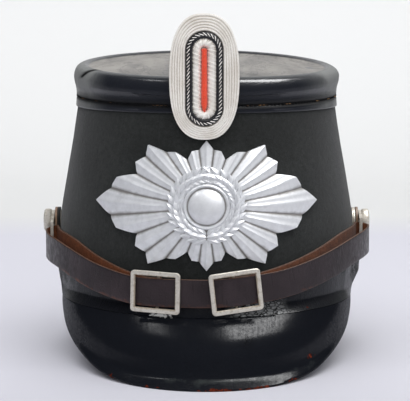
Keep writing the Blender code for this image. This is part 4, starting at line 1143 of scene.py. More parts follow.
def make_top():
    angle = angles_around()
    row = np.linspace(0.0, 6.0, 31)
    inset, drop = read_smooth(RIM_PROFILE, row)
    rim = rim_point(angle[None, :], inset[:, None], drop[:, None])
    skirt = skirt_rows(angle)
    corner = level_point(angle, CROWN_TOP_LEVEL, GAP)
    corner[:, 2] = top_height(corner[:, 1]) - TOP_LEATHER
    inside = [crown_point(angle, SKIRT_WAIST_HEIGHT, GAP), corner]
    rings = np.linspace(1.0, 0.03, 40)[:, None]
    panel = rim_point(angle[None, :], PANEL_INSET, 0.0)
    centre = np.array([0.0, TOP_CENTRE_Y, PANEL_HEIGHT])
    panel = centre + (panel - centre) * rings[..., None]
    above = np.clip((6.5 - drop) / 6.5, 0.0, 1.0)[:, None]
    for part, sunk in ((rim, above * TOP_SAG), (panel, TOP_SAG)):
        part[..., 2] -= sunk * (np.maximum(part[..., 0], 0.0) / RIM_HALF_WIDTH) ** 1.6
    inwards = smooth_step((1.0 - rings) / 0.12)
    diagonal = panel * np.array([1.0, 0.45, 1.0]) + panel[..., [1, 0, 2]] * 0.5
    sag = 0.6 * cloud(panel, 38.0, 2.0) + 0.5 * np.abs(cloud(diagonal, 15.0, 9.0)) ** 0.7
    panel[..., 2] += inwards * (sag - 0.5)
    under = centre + (corner[None, :, :] - centre) * rings[::-1][..., None]
    under[..., 2] = top_height(under[..., 1]) - TOP_LEATHER
    top_rows = np.concatenate([panel[::-1][:-1], rim, np.stack(skirt + inside), under[::-1][1:]])
    row = row[:, None]
    nick = 1.3 * bump(turned(angle, NICK_ANGLE) + 3.4 * (row - 2.8), 1.9)
    nick *= within(row, 1.2, 4.9, 0.6, 0.8)
    first, last = len(panel) - 1, len(panel) - 1 + len(rim)
    outward = unit(rim - centre)
    top_rows[first:last] -= 0.55 * nick[..., None] * outward
    wave = 0.22 * cloud(rim, 22.0, 5.0) + 0.05 * cloud(rim, 7.0, 11.0)
    top_rows[first:last] += wave[..., None] * outward
    masks = {name: np.zeros(top_rows.shape[:2]) for name in ("panel", "wear", "groove")}
    masks["panel"][:first] = 1.0
    masks["panel"][first:first + 3] = np.array([0.8, 0.4, 0.1])[:, None]
    side = turned(angle)
    sides = np.maximum(within(-side, 44.0, 128.0, 18.0, 30.0), within(side, 40.0, 130.0, 27.0, 30.0))
    height = np.linspace(0.0, 1.0, len(rim))[:, None]
    masks["wear"][first:last] = np.maximum(
        1.05 * sides[None, :] * smooth_step((height - 0.12) / 0.25), 0.35 * bump(height - 0.35, 0.12))
    masks["wear"][last:last + len(skirt)] = (0.75 * sides)[None, :]
    # The nick's dent is darkened with the groove's painted shade.
    masks["groove"][first:last] = nick
    for below, dark in enumerate(SEAM_SHADOW, 2):
        masks["groove"][last + below] = dark
    skin = Skin()
    numbers = skin.add(top_rows, wrap_columns=True, **masks)
    skin.cap(numbers[0], top_rows[0].mean(0), panel=1.0)
    skin.cap(numbers[-1], top_rows[-1].mean(0))
    top = skin.object("leather_top", top_material(), 50.0)
    fit(top, "top_leather", "crown_top")
    make_top_stitches()


def make_top_stitches():
    angle = angles_around(360)
    line = crown_point(angle, SKIRT_STITCH_HEIGHT, 0.95)
    outward = unit(crown_point(angle, SKIRT_STITCH_HEIGHT, 2.25) - line)
    stitch = arched_thread("stitch_item", 1.7, 0.30, 0.42, along_path=True)
    stitches = run_tree("top_stitches", row_tree(), line, outward, {
        "Item": stitch, "Spacing": look().stitch_spacing, "Sway": 0.22, "Size change": 0.25,
        "Material": seam_thread_material()})
    fit(stitches, "top_leather")


# -------- base band

def band_stand_off(angle, z):
    """How far the base band stands off the crown, at its sides and over the visor."""
    fade = smooth_step((BAND_LEAN_LAST - np.abs(turned(angle))) / BAND_LEAN_FADE)
    above = (z - base_edge_height(angle)) / BAND_LEAN_HEIGHT
    lift = BAND_LEAN * fade * np.maximum(1.0 - above, 0.0) ** BAND_LEAN_POWER
    climb = smooth_step((z - BAND_EAR_FOOT) / (BAND_EAR_TOP - BAND_EAR_FOOT))
    for ear, stand_off in BAND_EARS:
        lift = lift + stand_off * climb * bump(turned(angle, ear), BAND_EAR_SPREAD)
    return lift


def make_band():
    angle = angles_around(360)[None, :]
    low = base_edge_height(angle)
    high = level_point(angle, BAND_TOP_LEVEL)[..., 2]
    share = np.concatenate([[0.0], np.linspace(0.02, 0.975, 26), [0.995, 1.0]])[:, None]
    z = low + (high - low) * share
    round_off = 0.35 * bump(share - 1.0, 0.015)
    plain = crown_point(angle, z)
    uneven = 0.12 * cloud(plain, 12.0, 3.0) + 0.05 * cloud(plain, 5.0, 8.0)
    uneven = uneven * smooth_step(share / 0.2)
    fold = 0.55 * bump(turned(angle, 80.5) + 0.35 * (z - 45.0), 1.3)
    fold += 0.35 * bump(turned(angle, -80.0) + 0.15 * (z - 45.0), 0.9)
    fold *= smooth_step(share / 0.4)
    at_ear = bump(np.abs(turned(angle)) - 84.0, 8.0) * smooth_step(share / 0.3)
    crumple = 0.8 * np.abs(cloud(plain, 4.5, 4.0)) * at_ear
    out = GAP + BAND_LEATHER + band_stand_off(angle, z) + uneven - round_off - fold - crumple
    outer = crown_point(angle, z, out)
    back = np.linspace(1.0, 0.0, 14)[:, None]
    z_in = low + (high - low) * back
    inner = crown_point(angle, z_in, GAP + band_stand_off(angle, z_in))
    side = turned(angle)
    cracks = 0.9 * bump(np.abs(side) - 80.0, 8.0) * smooth_step(share / 0.3)
    cracks += 1.2 * within(side, 5.0, 34.0, 4.0, 8.0)
    # A flake at the band's foot, left of the middle, painted pale as a glint.
    flake = 1.3 * bump(side + 16.4, 5.2) * bump(share - 0.02, 0.08)
    # The crazed patch at the front right, painted pale as a highlight.
    crazed = within(side, 6.0, 31.5, 6.0, 4.0) * smooth_step((0.44 - share) / 0.2)
    chips = 0.95 * bump(side - 38.8, 2.2) * bump(share - 0.06, 0.07)
    chips += 0.35 * bump(share, 0.30) * bump(side - 20.0, 12.0)
    wear = 0.62 * smooth_step((np.abs(side) - 40.0) / 24.0) + 0.25 * bump(side + 78.0, 13.0)
    skin = Skin()
    skin.add(
        np.concatenate([outer, inner]), wrap_rows=True, wrap_columns=True, cracks=cracks, flake=flake,
        chips=chips, wear=wear * np.ones(share.shape), crazed=crazed)
    band = skin.object("lacquered_band", lacquer_material("Band lacquer", 0.31, 0.04), 50.0)
    fit(band, "band_leather", "base_band")


# -------- peaks

def peak_grid(front, half_width, reach, tip, edge, centre, side, columns):
    """The closed sections of a peak from tip to tip, and how far down it each point lies.

    Down is 0 at the seam, 1 at the edge of the top side and more than that underneath.
    """
    part = np.linspace(-1.0, 1.0, columns)
    angle = tip * part
    turn = np.radians(angle)
    seam_angle = (0.0 if front > 0 else 180.0) + front * angle * PEAK_SEAM_SHARE
    foot = base_edge_height(seam_angle)
    seam = crown_point(seam_angle, foot, GAP + BAND_LEATHER + band_stand_off(seam_angle, foot))
    seam[:, 2] -= GAP
    edge_x, edge_y = half_width * np.sin(turn), -front * reach * np.cos(turn)
    edge_z = np.maximum(read_smooth(edge, np.abs(angle))[0], 0.0)
    outward = np.stack([edge_x - seam[:, 0], edge_y - seam[:, 1]], -1)
    run = np.linalg.norm(outward, axis=-1)
    outward /= run[:, None]
    depth = seam[:, 2] - edge_z - PEAK_EDGE_HEIGHT
    rows = np.linspace(0.0, len(centre) - 1.0, 44)
    out_mid, down_mid = read_smooth(centre, rows)
    out_side, down_side = read_smooth(side, rows)
    share = part[None, :] ** 2
    out = (out_mid[:, None] * (1 - share) + out_side[:, None] * share) * run
    z = seam[:, 2] - (down_mid[:, None] * (1 - share) + down_side[:, None] * share) * depth
    edge_rows = [(run - inset, edge_z + rise) for inset, rise in PEAK_EDGE_ROUND]
    under_out, under_z = out[-3::-1] - PEAK_UNDER_INSET, z[-3::-1] - PEAK_UNDER_DROP
    margin_out = np.full((2, columns), -PEAK_MARGIN)
    margin_z = np.stack([seam[:, 2] - PEAK_UNDER_DROP, seam[:, 2]])
    all_out = np.concatenate([out, [row[0] for row in edge_rows], under_out, margin_out])
    all_z = np.concatenate([z, [row[1] for row in edge_rows], under_z, margin_z])
    points = together(seam[:, 0] + outward[:, 0] * all_out, seam[:, 1] + outward[:, 1] * all_out, all_z)
    down = np.concatenate(
        [rows / rows[-1], np.full(len(edge_rows), 1.02), 1.1 + np.arange(len(under_out)), [99.0, 99.0]])
    return points, down[:, None] * np.ones(columns)


def raise_top(points, down, lumps):
    """Raise a peak's top side by its lumps; gives the masks of that side and of its edge."""
    top = down < 1.01
    points[..., 2] += lumps * (top & (down > 0.06) & (down < 0.9))
    return top, smooth_step((down - 0.80) / 0.2) * (down < 1.05)


def make_visor():
    points, down = peak_grid(
        1, VISOR_HALF_WIDTH, VISOR_REACH, VISOR_TIP, VISOR_EDGE, VISOR_CENTRE_PROFILE,
        VISOR_SIDE_PROFILE, 241)
    lumps = 0.14 * cloud(points, 16.0, 1.0) + 0.05 * cloud(points, 6.0, 7.0)
    top, edge = raise_top(points, down, lumps)
    x, z = points[..., 0], points[..., 2]
    chips = 0.29 + sum(amount * bump(x - middle, width) for amount, middle, width in VISOR_CHIPS)
    chips = edge * chips + 1.10 * bump(x - 59.5, 3.2) * bump(z - 11.8, 3.0) * top
    chips += 0.52 * bump(down - 1.02, 0.04) * (down < 1.05) * bump(x - 8.0, 52.0)
    cracks = 1.0 * bump(x - 23.0, 3.0) * bump(z - 25.0, 3.5) * (down < 0.5)
    wear = 0.35 * edge + 0.35 * bump(x - 42.0, 22.0) * bump(down - 0.3, 0.2)
    wear += 0.7 * bump(down - 0.87, 0.07) * bump(x - 8.0, 60.0)
    # The flake's painted glint carries on along the top of the visor's seam.
    flake = 0.95 * bump(x + 23.0, 7.0) * bump(down, 0.018)
    skin = Skin()
    add_closed_sweep(skin, points, chips=chips, cracks=cracks, wear=wear * top, flake=flake)
    visor = skin.object("front_peak", lacquer_material("Visor lacquer", 0.26, 0.0), 50.0)
    fit(visor, "peak_leather", "front_visor")


def make_guard():
    points, down = peak_grid(
        -1, GUARD_HALF_WIDTH, GUARD_REACH, GUARD_TIP, GUARD_EDGE, GUARD_PROFILE, GUARD_PROFILE, 201)
    _, edge = raise_top(points, down, 0.10 * cloud(points, 16.0, 6.0))
    skin = Skin()
    add_closed_sweep(skin, points, chips=0.36 * edge, cracks=0.0, wear=0.4 * edge, flake=0.0)
    guard = skin.object("neck_peak", lacquer_material("Guard lacquer", 0.24, 0.02), 50.0)
    fit(guard, "peak_leather", "neck_guard")


# -------- chin strap

def half_turn(start, end, away, steps):
    """Points of a half round bend between two ends, the ends left out."""
    centre, arm = (start + end) / 2.0, (start - end) / 2.0
    reach = away * np.linalg.norm(arm)
    turn = np.pi * np.arange(1, steps) / steps
    return centre + arm * np.cos(turn)[:, None] + reach * np.sin(turn)[:, None]


def buckle_axes(side):
    """Centre of a buckle's frame, and its axes along the strap, across it and outwards."""
    angle, height, tilt = BUCKLES[side]
    normal = strap_normal(angle)
    level = np.array([-normal[1], normal[0], 0.0])
    tilt = math.radians(tilt)
    along = level * math.cos(tilt) + np.array([0.0, 0.0, math.sin(tilt)])
    across = unit(np.cross(normal, along))
    return strap_line(angle, height, BUCKLE_STAND_OFF), along, across, normal


def strap_wrap(side):
    """The strap's end from its fold-back in front of the buckle's bar to behind it."""
    _, along, _, normal = buckle_axes(side)
    along = along * (1.0 if side == "left" else -1.0)
    angle = BUCKLES[side][0]
    height = read_smooth(STRAP_OUTER_RUN, angle)[0]
    bar = strap_line(angle, height, BUCKLE_STAND_OFF)
    bar -= normal * (BUCKLE_STAND_OFF - CENTRE_BAR_STAND_OFF)
    radius = CENTRE_BAR_RADIUS + GAP + STRAP_LEATHER / 2.0
    front, back = bar + normal * radius, bar - normal * radius
    lead = [front - along * STRAP_FOLD_BACK * share for share in np.linspace(1.0, 0.0, 7)]
    return np.concatenate([lead, half_turn(front, back, along, 14), [back]])


def strap_run(table, step):
    angle = np.linspace(table[0][0], table[-1][0], int(abs(table[-1][0] - table[0][0]) / step) + 1)
    height, stand_off = read_smooth(table, angle)
    return strap_line(angle, height, stand_off)


def soften(line, rounds, fixed):
    """Ease the joints of a line of points, its ends held."""
    line = line.copy()
    for _ in range(rounds):
        middle = (line[:-2] + line[2:]) / 2.0
        inner = line[1:-1]
        inner[...] = np.where(fixed[1:-1, None], inner, inner * 0.5 + middle * 0.5)
    return line


def strap_route():
    """The strap's middle line and the direction of its width at each point."""
    outer = strap_run(STRAP_OUTER_RUN, 0.8)
    left, right = strap_run(STRAP_INNER_LEFT, 1.2), strap_run(STRAP_INNER_RIGHT, 1.2)
    back = np.array([0.0, 1.0, 0.0])
    wrap_left, wrap_right = strap_wrap("left"), strap_wrap("right")
    parts = [wrap_left, left[::-1][1:], half_turn(left[0], outer[0], back, 26), outer,
             half_turn(outer[-1], right[-1], back, 26), right[::-1][:-1], wrap_right[::-1]]
    line = np.concatenate(parts)
    up = np.tile(np.array([0.0, 0.0, 1.0]), (len(line), 1))
    up[:len(wrap_left)] = buckle_axes("left")[2]
    up[-len(wrap_right):] = buckle_axes("right")[2]
    held = np.zeros(len(line), bool)
    held[:len(wrap_left) - 1] = held[-len(wrap_right) + 1:] = True
    return soften(line, 10, held), up


def strap_section():
    """The strap's cross-section: out from the middle, up, and its flesh and cut masks."""
    half, thick, radius = STRAP_WIDTH / 2.0, STRAP_LEATHER / 2.0, STRAP_EDGE_RADIUS

    def corner(side, end, first):
        return [(side * (thick - radius) + radius * math.cos(turn),
                 end * (half - radius) + radius * math.sin(turn),
                 0.0, float(side < 0 or abs(math.sin(turn)) > 0.6))
                for turn in np.radians(first + 22.5 * np.arange(4))]

    up = np.linspace(-half + radius, half - radius, 13)
    grain_side = [(thick, rise, 0.0, 0.0) for rise in up]
    flesh_side = [(-thick, rise, 1.0, 0.0) for rise in up[::-1]]
    return np.array(grain_side + corner(1, 1, 22.5) + corner(-1, 1, 90.0)
                    + flesh_side + corner(-1, -1, 202.5) + corner(1, -1, 270.0))


def make_strap():
    line, hint = strap_route()
    along = unit(np.gradient(line, axis=0))
    normal = unit(np.cross(along, hint))
    up = unit(np.cross(normal, along))
    section = strap_section()
    gone = np.concatenate([[0.0], np.cumsum(np.linalg.norm(np.diff(line, axis=0), axis=-1))])
    angle = np.degrees(np.arctan2(line[:, 0], -line[:, 1]))
    out, rise = section[:, 0][:, None], section[:, 1][:, None]
    points = line[None] + normal[None] * out[..., None] + up[None] * rise[..., None]
    bends = bump(np.abs(angle) - 84.0, 9.0) + 0.35
    crease = np.minimum(cloud(together(gone, 0.0, 3.0), 1.5) + 0.25, 0.0) * bends
    face = (section[:, 2] < 0.5)[:, None]
    points += normal[None] * (0.55 * crease[None, :] * face)[..., None]
    low_edge = bump(section[:, 1] + 7.2, 1.3)[:, None]
    rubbed = sum(amount * bump(turned(angle, middle), width) for amount, middle, width in STRAP_RUBS)
    rub = 0.16 + 0.22 * low_edge + 0.22 * bump(section[:, 1] - 7.6, 0.8)[:, None]
    rub = rub + low_edge * rubbed[None, :]
    uv = together(
        gone[None, :], np.append(section[:, 1] + 40.0 * section[:, 2], section[0, 1])[:, None])
    skin = Skin()
    shape = points.shape[:2]
    add_closed_sweep(
        skin, points, uv, flesh=np.repeat(section[:, 2], shape[1]),
        cut=np.repeat(section[:, 3], shape[1]), rub=np.broadcast_to(rub, shape))
    strap = skin.object("chin_strap_leather", strap_material(), 55.0)
    fit(strap, "strap_leather", "chin_strap")


# -------- buckles

def rounded_frame(half_width, half_height, corner, steps=6, between=6):
    """Points of a rounded rectangle once round, its straight sides divided as well."""
    corners = []
    for sign_x, sign_y, first in ((1, 1, 0.0), (-1, 1, 90.0), (-1, -1, 180.0), (1, -1, 270.0)):
        turn = np.radians(first + 90.0 * np.arange(steps + 1) / steps)
        corners.append(together(
            sign_x * (half_width - corner) + corner * np.cos(turn),
            sign_y * (half_height - corner) + corner * np.sin(turn)))
    parts = []
    for here, after in zip(corners, corners[1:] + corners[:1]):
        share = np.arange(1, between)[:, None] / between
        parts += [here, here[-1] + (after[0] - here[-1]) * share]
    return np.concatenate(parts)


def make_buckles():
    metal = metal_material("Buckle metal", look().metal_colour, (0.30, 0.245, 0.175))
    for side in BUCKLES:
        centre, along, across, normal = buckle_axes(side)
        turn = once_round(24)
        flat_x = np.sign(np.cos(turn)) * np.abs(np.cos(turn)) ** 0.55 * BUCKLE_BAR / 2.0
        flat_z = np.sign(np.sin(turn)) * np.abs(np.sin(turn)) ** 0.55 * BUCKLE_THICKNESS / 2.0
        ring = []
        for out, proud in zip(flat_x, flat_z):
            loop = rounded_frame(
                (BUCKLE_WIDTH - BUCKLE_BAR) / 2.0 + out, (BUCKLE_HEIGHT - BUCKLE_BAR) / 2.0 + out,
                BUCKLE_CORNER + 0.75 * out)
            ring.append(centre + loop[:, :1] * along + loop[:, 1:2] * across + normal * proud)
        ring = np.stack(ring)
        ring += 0.05 * normal * cloud(ring, 3.0)[..., None]
        inner = smooth_step((-flat_x - 0.2) / 1.0)[:, None] * np.ones(ring.shape[1])
        skin = Skin()
        skin.add(ring, wrap_rows=True, wrap_columns=True, worn=0.35 + 0.65 * inner)
        add_centre_bar(skin, centre, along, across, normal)
        frame_piece = skin.object("buckle_frame_" + side, metal, 50.0)
        fit(frame_piece, "buckle_metal", "buckle_" + side)


def add_centre_bar(skin, centre, along, across, normal):
    """The cranked bar that the strap's end is folded round."""
    frame_v = (BUCKLE_HEIGHT - BUCKLE_BAR) / 2.0
    back = BUCKLE_STAND_OFF - CENTRE_BAR_STAND_OFF
    elbows = np.array([(frame_v, 0.0), (frame_v - 0.35, 2.0), (CENTRE_BAR_REACH - 0.3, 3.6),
                       (CENTRE_BAR_REACH - 1.2, back), (4.0, back), (0.0, back)])
    mirrored = elbows[::-1][1:] * np.array([-1.0, 1.0])
    route = np.concatenate([elbows, mirrored])
    line = centre + route[:, :1] * across - route[:, 1:2] * normal
    tangent = unit(np.gradient(line, axis=0))
    other = np.cross(tangent, along)
    turn = once_round(12)
    out = along * np.cos(turn)[:, None, None] + other[None] * np.sin(turn)[:, None, None]
    ring = line[None] + CENTRE_BAR_RADIUS * out
    add_closed_sweep(skin, ring, worn=0.9)


# -------- side fittings

def post_base(sign):
    """Where a side post's axis meets the cloth."""
    angle = 90.0
    for _ in range(6):
        point = crown_point(angle, POST_HEIGHT)
        angle += math.degrees((POST_Y - point[1]) / POST_TURN_RADIUS)
    return np.array([sign * crown_point(angle, POST_HEIGHT)[0], POST_Y, POST_HEIGHT])


POST_WIDER_FLANGE = 1.9         # more radius for the right post's flange
# The turned post: distance out from the cloth, radius, how worn, 1 for the flange's rows
POST_PROFILE = (
    (-6.5, 0.0, 0.5, 0), (-6.5, 1.6, 0.5, 0), (0.30, 1.6, 0.5, 0), (0.35, 1.8, 0.6, 0),
    (0.35, 5.8, 0.6, 1), (0.5, 6.0, 0.4, 1), (1.2, 6.0, 0.7, 1), (1.3, 5.8, 0.9, 1),
    (1.4, 6.0, 0.4, 1), (1.9, 6.0, 0.4, 1), (2.2, 5.9, 0.2, 1), (2.4, 5.4, 0.3, 1),
    (2.4, 2.7, 0.8, 0), (2.6, 2.6, 0.9, 0), (6.3, 2.6, 0.9, 0), (6.45, 2.8, 0.9, 0),
    (6.45, 6.2, 0.6, 0), (6.6, 6.5, 0.5, 0), (7.0, 6.85, 0.3, 0), (7.8, 7.05, 0.3, 0),
    (8.6, 7.1, 0.3, 0), (9.5, 7.05, 0.3, 0), (10.2, 6.9, 0.4, 0), (10.6, 6.55, 0.6, 0),
    (10.9, 6.0, 0.6, 0), (11.1, 5.3, 0.5, 0), (11.25, 4.3, 0.3, 0), (11.35, 3.0, 0.2, 0),
    (11.4, 1.6, 0.2, 0), (11.4, 0.0, 0.2, 0),
)


def make_side_fittings():
    metal = metal_material(
        "Fitting metal", look().metal_colour, (0.24, 0.19, 0.125), (0.40, 0.56), 0.60)
    leather = tab_material()
    for side, sign in (("left", -1.0), ("right", 1.0)):
        base = post_base(sign)
        profile = np.array(POST_PROFILE)
        turn = once_round(56)
        profile[:, 1] += profile[:, 3] * (POST_WIDER_FLANGE if sign > 0 else 0.0)
        out, radius = profile[1:-1, 0][:, None], profile[1:-1, 1][:, None]
        points = together(
            base[0] + sign * out, base[1] + radius * np.cos(turn), base[2] + radius * np.sin(turn))
        skin = Skin()
        numbers = skin.add(points, wrap_columns=True, worn=np.repeat(profile[1:-1, 2], len(turn)))
        for row in (0, -1):
            centre = base + np.array([sign * profile[row, 0], 0.0, 0.0])
            skin.cap(numbers[row], centre, worn=0.3)
        fit(skin.object("side_stud_" + side, metal, 38.0), "post_metal", "side_post_" + side)
        make_tab(side, sign, base, leather)
        make_lug(side, sign, base, metal)


def plate_outline(centre_y, centre_z, radius, first, last, steps):
    turn = np.radians(np.linspace(first, last, steps + 1))
    return [(centre_y + radius * math.cos(a), centre_z + radius * math.sin(a)) for a in turn]


def plate_object(name, outline, holes, x_start, x_end, bevel, material):
    """A flat plate square to X with rounded arrises; its cut edge and wear are masked."""
    shape = bmesh.new()
    edges = []
    for loop in [outline] + holes:
        verts = [shape.verts.new((x_start, y, z)) for y, z in loop]
        edges += [shape.edges.new((verts[i - 1], verts[i])) for i in range(len(verts))]
    bmesh.ops.triangle_fill(shape, edges=edges, use_beauty=True)
    grown = bmesh.ops.extrude_face_region(shape, geom=shape.faces[:])
    moved = [item for item in grown["geom"] if isinstance(item, bmesh.types.BMVert)]
    bmesh.ops.translate(shape, verts=moved, vec=(x_end - x_start, 0.0, 0.0))
    bmesh.ops.recalc_face_normals(shape, faces=shape.faces)
    bmesh.ops.dissolve_limit(shape, angle_limit=0.01, verts=shape.verts, edges=shape.edges)
    sharp = [edge for edge in shape.edges if edge.calc_face_angle(0.0) > 0.9]
    bmesh.ops.bevel(
        shape, geom=sharp, offset=bevel, segments=3, profile=0.6, affect="EDGES", clamp_overlap=True)
    bmesh.ops.triangulate(shape, faces=[f for f in shape.faces if len(f.verts) > 4])
    bmesh.ops.recalc_face_normals(shape, faces=shape.faces)
    for vert in shape.verts:
        vert.co = (vert.co + Vector((0.0, HAT_SHIFT_Y, 0.0))) * MM
    mesh = bpy.data.meshes.new(name)
    shape.to_mesh(mesh)
    shape.free()
    middle = abs(x_start + x_end) / 2.0 * MM
    half = abs(x_end - x_start) / 2.0 * MM
    near = np.array([1.0 - abs(abs(v.co.x) - middle) / half for v in mesh.vertices])
    note_mask(mesh, "cut", smooth_step(near / 0.12).astype(np.float32))
    note_mask(mesh, "worn", (0.6 * near + 0.4).astype(np.float32))
    mesh.materials.append(material)
    return place_smooth(name, mesh, 40.0)


def neck_hole():
    return plate_outline(POST_Y, POST_HEIGHT, FITTING_HOLE, 0.0, 350.0, 35)


def make_tab(side, sign, base, material):
    x = base[0] + sign * TAB_OUT
    top, bottom = POST_HEIGHT + TAB_ABOVE_POST, POST_HEIGHT - TAB_BELOW_POST
    outline = plate_outline(POST_Y, top - TAB_HALF_WIDTH, TAB_HALF_WIDTH, 0.0, 180.0, 28)
    outline += plate_outline(POST_Y, bottom + TAB_HALF_WIDTH, TAB_HALF_WIDTH, 180.0, 360.0, 28)
    tab = plate_object(
        "side_tab_leather_" + side, outline, [neck_hole()], x, x + sign * TAB_LEATHER, 0.22, material)
    fit(tab, "tab_leather", "side_tab_" + side)
    if side == "left":
        start = base[0] + sign * 0.9
        room = plate_outline(POST_Y, POST_HEIGHT, 6.3, 0.0, 350.0, 35)
        pad = plate_object(
            "side_pad_leather", outline, [room], start, base[0] + sign * (TAB_OUT - 0.1), 0.2, material)
        pad.data.attributes.remove(pad.data.attributes["cut"])
        fit(pad, "tab_leather")


def make_lug(side, sign, base, material):
    outer = STRAP_OUTER_RUN[0] if sign < 0 else STRAP_OUTER_RUN[-1]
    inner = STRAP_INNER_LEFT[0] if sign < 0 else STRAP_INNER_RIGHT[-1]
    far, near = strap_line(*outer), strap_line(*inner)
    bend_back = (far[1] + near[1]) / 2.0 + np.linalg.norm(far - near) / 2.0
    bar_y = bend_back - STRAP_LEATHER / 2.0 - 2.5 * GAP - LUG_BAR / 2.0
    height = (outer[1] + inner[1]) / 2.0
    low = height - STRAP_WIDTH / 2.0 - LUG_CLEARANCE
    high = height + STRAP_WIDTH / 2.0 + LUG_CLEARANCE
    front, slot_front = bar_y - LUG_BAR / 2.0, bar_y + LUG_BAR / 2.0
    slot_back = POST_Y - LUG_RING + 0.6
    x = base[0] + sign * LUG_OUT
    outline = plate_outline(POST_Y, POST_HEIGHT, LUG_RING, -60.0, 100.0, 30)
    outline += [(front, high + LUG_BAR), (front, low - LUG_BAR), (slot_back, low - LUG_BAR)]
    slot = [(slot_front, low), (slot_back, low), (slot_back, high), (slot_front, high)]
    lug = plate_object(
        "strap_lug_metal_" + side, outline, [neck_hole(), slot], x, x + sign * LUG_THICKNESS, 0.35,
        material)
    fit(lug, "post_metal", "strap_lug_" + side)


# -------- cockade

FACING = np.array([0.0, -1.0, 0.0])


def oval(half_width, half_height, y, part, steps=160):
    """A rounded oval facing the front, its points evenly spaced.

    A part of 0 gives the cockade's own outline, 1 the straight-sided rings inside it.
    """
    turn = np.linspace(0.0, math.tau, 4001)
    c, s = np.abs(np.cos(turn)), np.abs(np.sin(turn))
    full = (c / half_width) ** COCKADE_POWER + (s / half_height) ** COCKADE_POWER
    straight = half_height - half_width
    reach = half_width / np.maximum(c, 1e-9)
    bow = straight * s + np.sqrt(np.maximum(half_width ** 2 - (straight * c) ** 2, 0.0))
    ring = np.where(reach * s <= straight, reach, bow)
    reach = full ** (-1.0 / COCKADE_POWER) * (1.0 - part) + ring * part
    x, z = reach * np.cos(turn), reach * np.sin(turn)
    gone = np.concatenate([[0.0], np.cumsum(np.hypot(np.diff(x), np.diff(z)))])
    wanted = np.linspace(0.0, gone[-1], steps, endpoint=False)
    return together(COCKADE_X + np.interp(wanted, gone, x), y,
                    COCKADE_HEIGHT - COCKADE_DROP * part + np.interp(wanted, gone, z))


def braid_row(part, rise):
    """An oval line of the braided border, 0 at its outline and 1 at its inner edge."""
    inset = BRAID_BAND * part
    thick = BRAID_EDGE_THICKNESS * (1.0 - part) + BRAID_INNER_THICKNESS * part
    return oval(BRAID_HALF_WIDTH - inset * BRAID_SQUEEZE, BRAID_HALF_HEIGHT - inset,
                COCKADE_BACK_Y - thick - rise, part)


BRAID_RIDGES = 6


def make_braid(silver, ground):
    """Backing, ridged body and stud, and the slanted threads laid over every ridge."""
    rows = [oval(BRAID_HALF_WIDTH - 0.5, BRAID_HALF_HEIGHT - 0.5, COCKADE_BACK_Y, 0.0),
            oval(BRAID_HALF_WIDTH - 0.1, BRAID_HALF_HEIGHT - 0.1, COCKADE_BACK_Y - 0.5, 0.0)]
    per_ridge = 8
    for i in range(BRAID_RIDGES * per_ridge + 1):
        part = i / (BRAID_RIDGES * per_ridge)
        arch = abs(math.sin(math.pi * i / per_ridge)) ** 0.6
        rows.append(braid_row(part, 0.34 * arch - 0.12))
    inset = BRAID_BAND + 0.1
    rows.append(oval(
        BRAID_HALF_WIDTH - inset * BRAID_SQUEEZE, BRAID_HALF_HEIGHT - inset,
        COCKADE_BACK_Y - BACKING_THICKNESS, 1.0))
    points = np.stack(rows)
    skin = Skin()
    numbers = skin.add(points, wrap_columns=True)
    for row in (0, -1):
        skin.cap(numbers[row], points[row].mean(0))
    body = skin.object("braid_body", ground, 60.0)
    threads = [body]
    for ridge in range(BRAID_RIDGES):
        part = (ridge + 0.5) / BRAID_RIDGES
        width = BRAID_BAND / BRAID_RIDGES
        item = arched_thread("braid_item", width * 1.04, 0.36, 0.10, 5, 4)
        threads.append(run_tree("braid_threads", row_tree(), braid_row(part, 0.06), FACING, {
            "Item": item, "Spacing": look().thread_spacing * 0.80,
            "Slant": 0.72 * (1 if ridge % 2 else -1), "Sway": 0.10, "Material": silver}))
    threads.append(make_stud(silver))
    fit(join_pieces("silver_braid_border", threads), "silver_braid", "cockade_braid")


def make_stud(material):
    """The cockade's plain stud, through the crown's wall."""
    turn = once_round(20)
    start, end = COCKADE_BACK_Y + 12.5, COCKADE_BACK_Y - BACKING_THICKNESS / 2.0
    y = np.array([start, start - 0.3, end])[:, None]
    radius = np.array([1.0, 1.3, 1.3])[:, None]
    points = together(COCKADE_X + radius * np.cos(turn), y, STUD_HEIGHT + radius * np.sin(turn))
    skin = Skin()
    add_rod(skin, points)
    return skin.object("cockade_stud", material)


def half_round(half, width, proud, material, name, floor, swell=1.0):
    """A rounded core laid in an oval on the backing."""
    turn = np.linspace(0.0, math.pi, 9)
    rows = [ring_path(half, width / 2.0 * (1.0 - math.cos(a)),
                      floor - swell * math.sin(a) ** 0.6 * proud, 140)
            for a in turn]
    skin = Skin()
    skin.add(np.stack(rows), wrap_rows=True, wrap_columns=True)
    return skin.object(name, material, 60.0)


def ring_path(half, inset, y, steps=400):
    return oval(half[0] - inset, half[1] - inset, y, 1.0, steps)


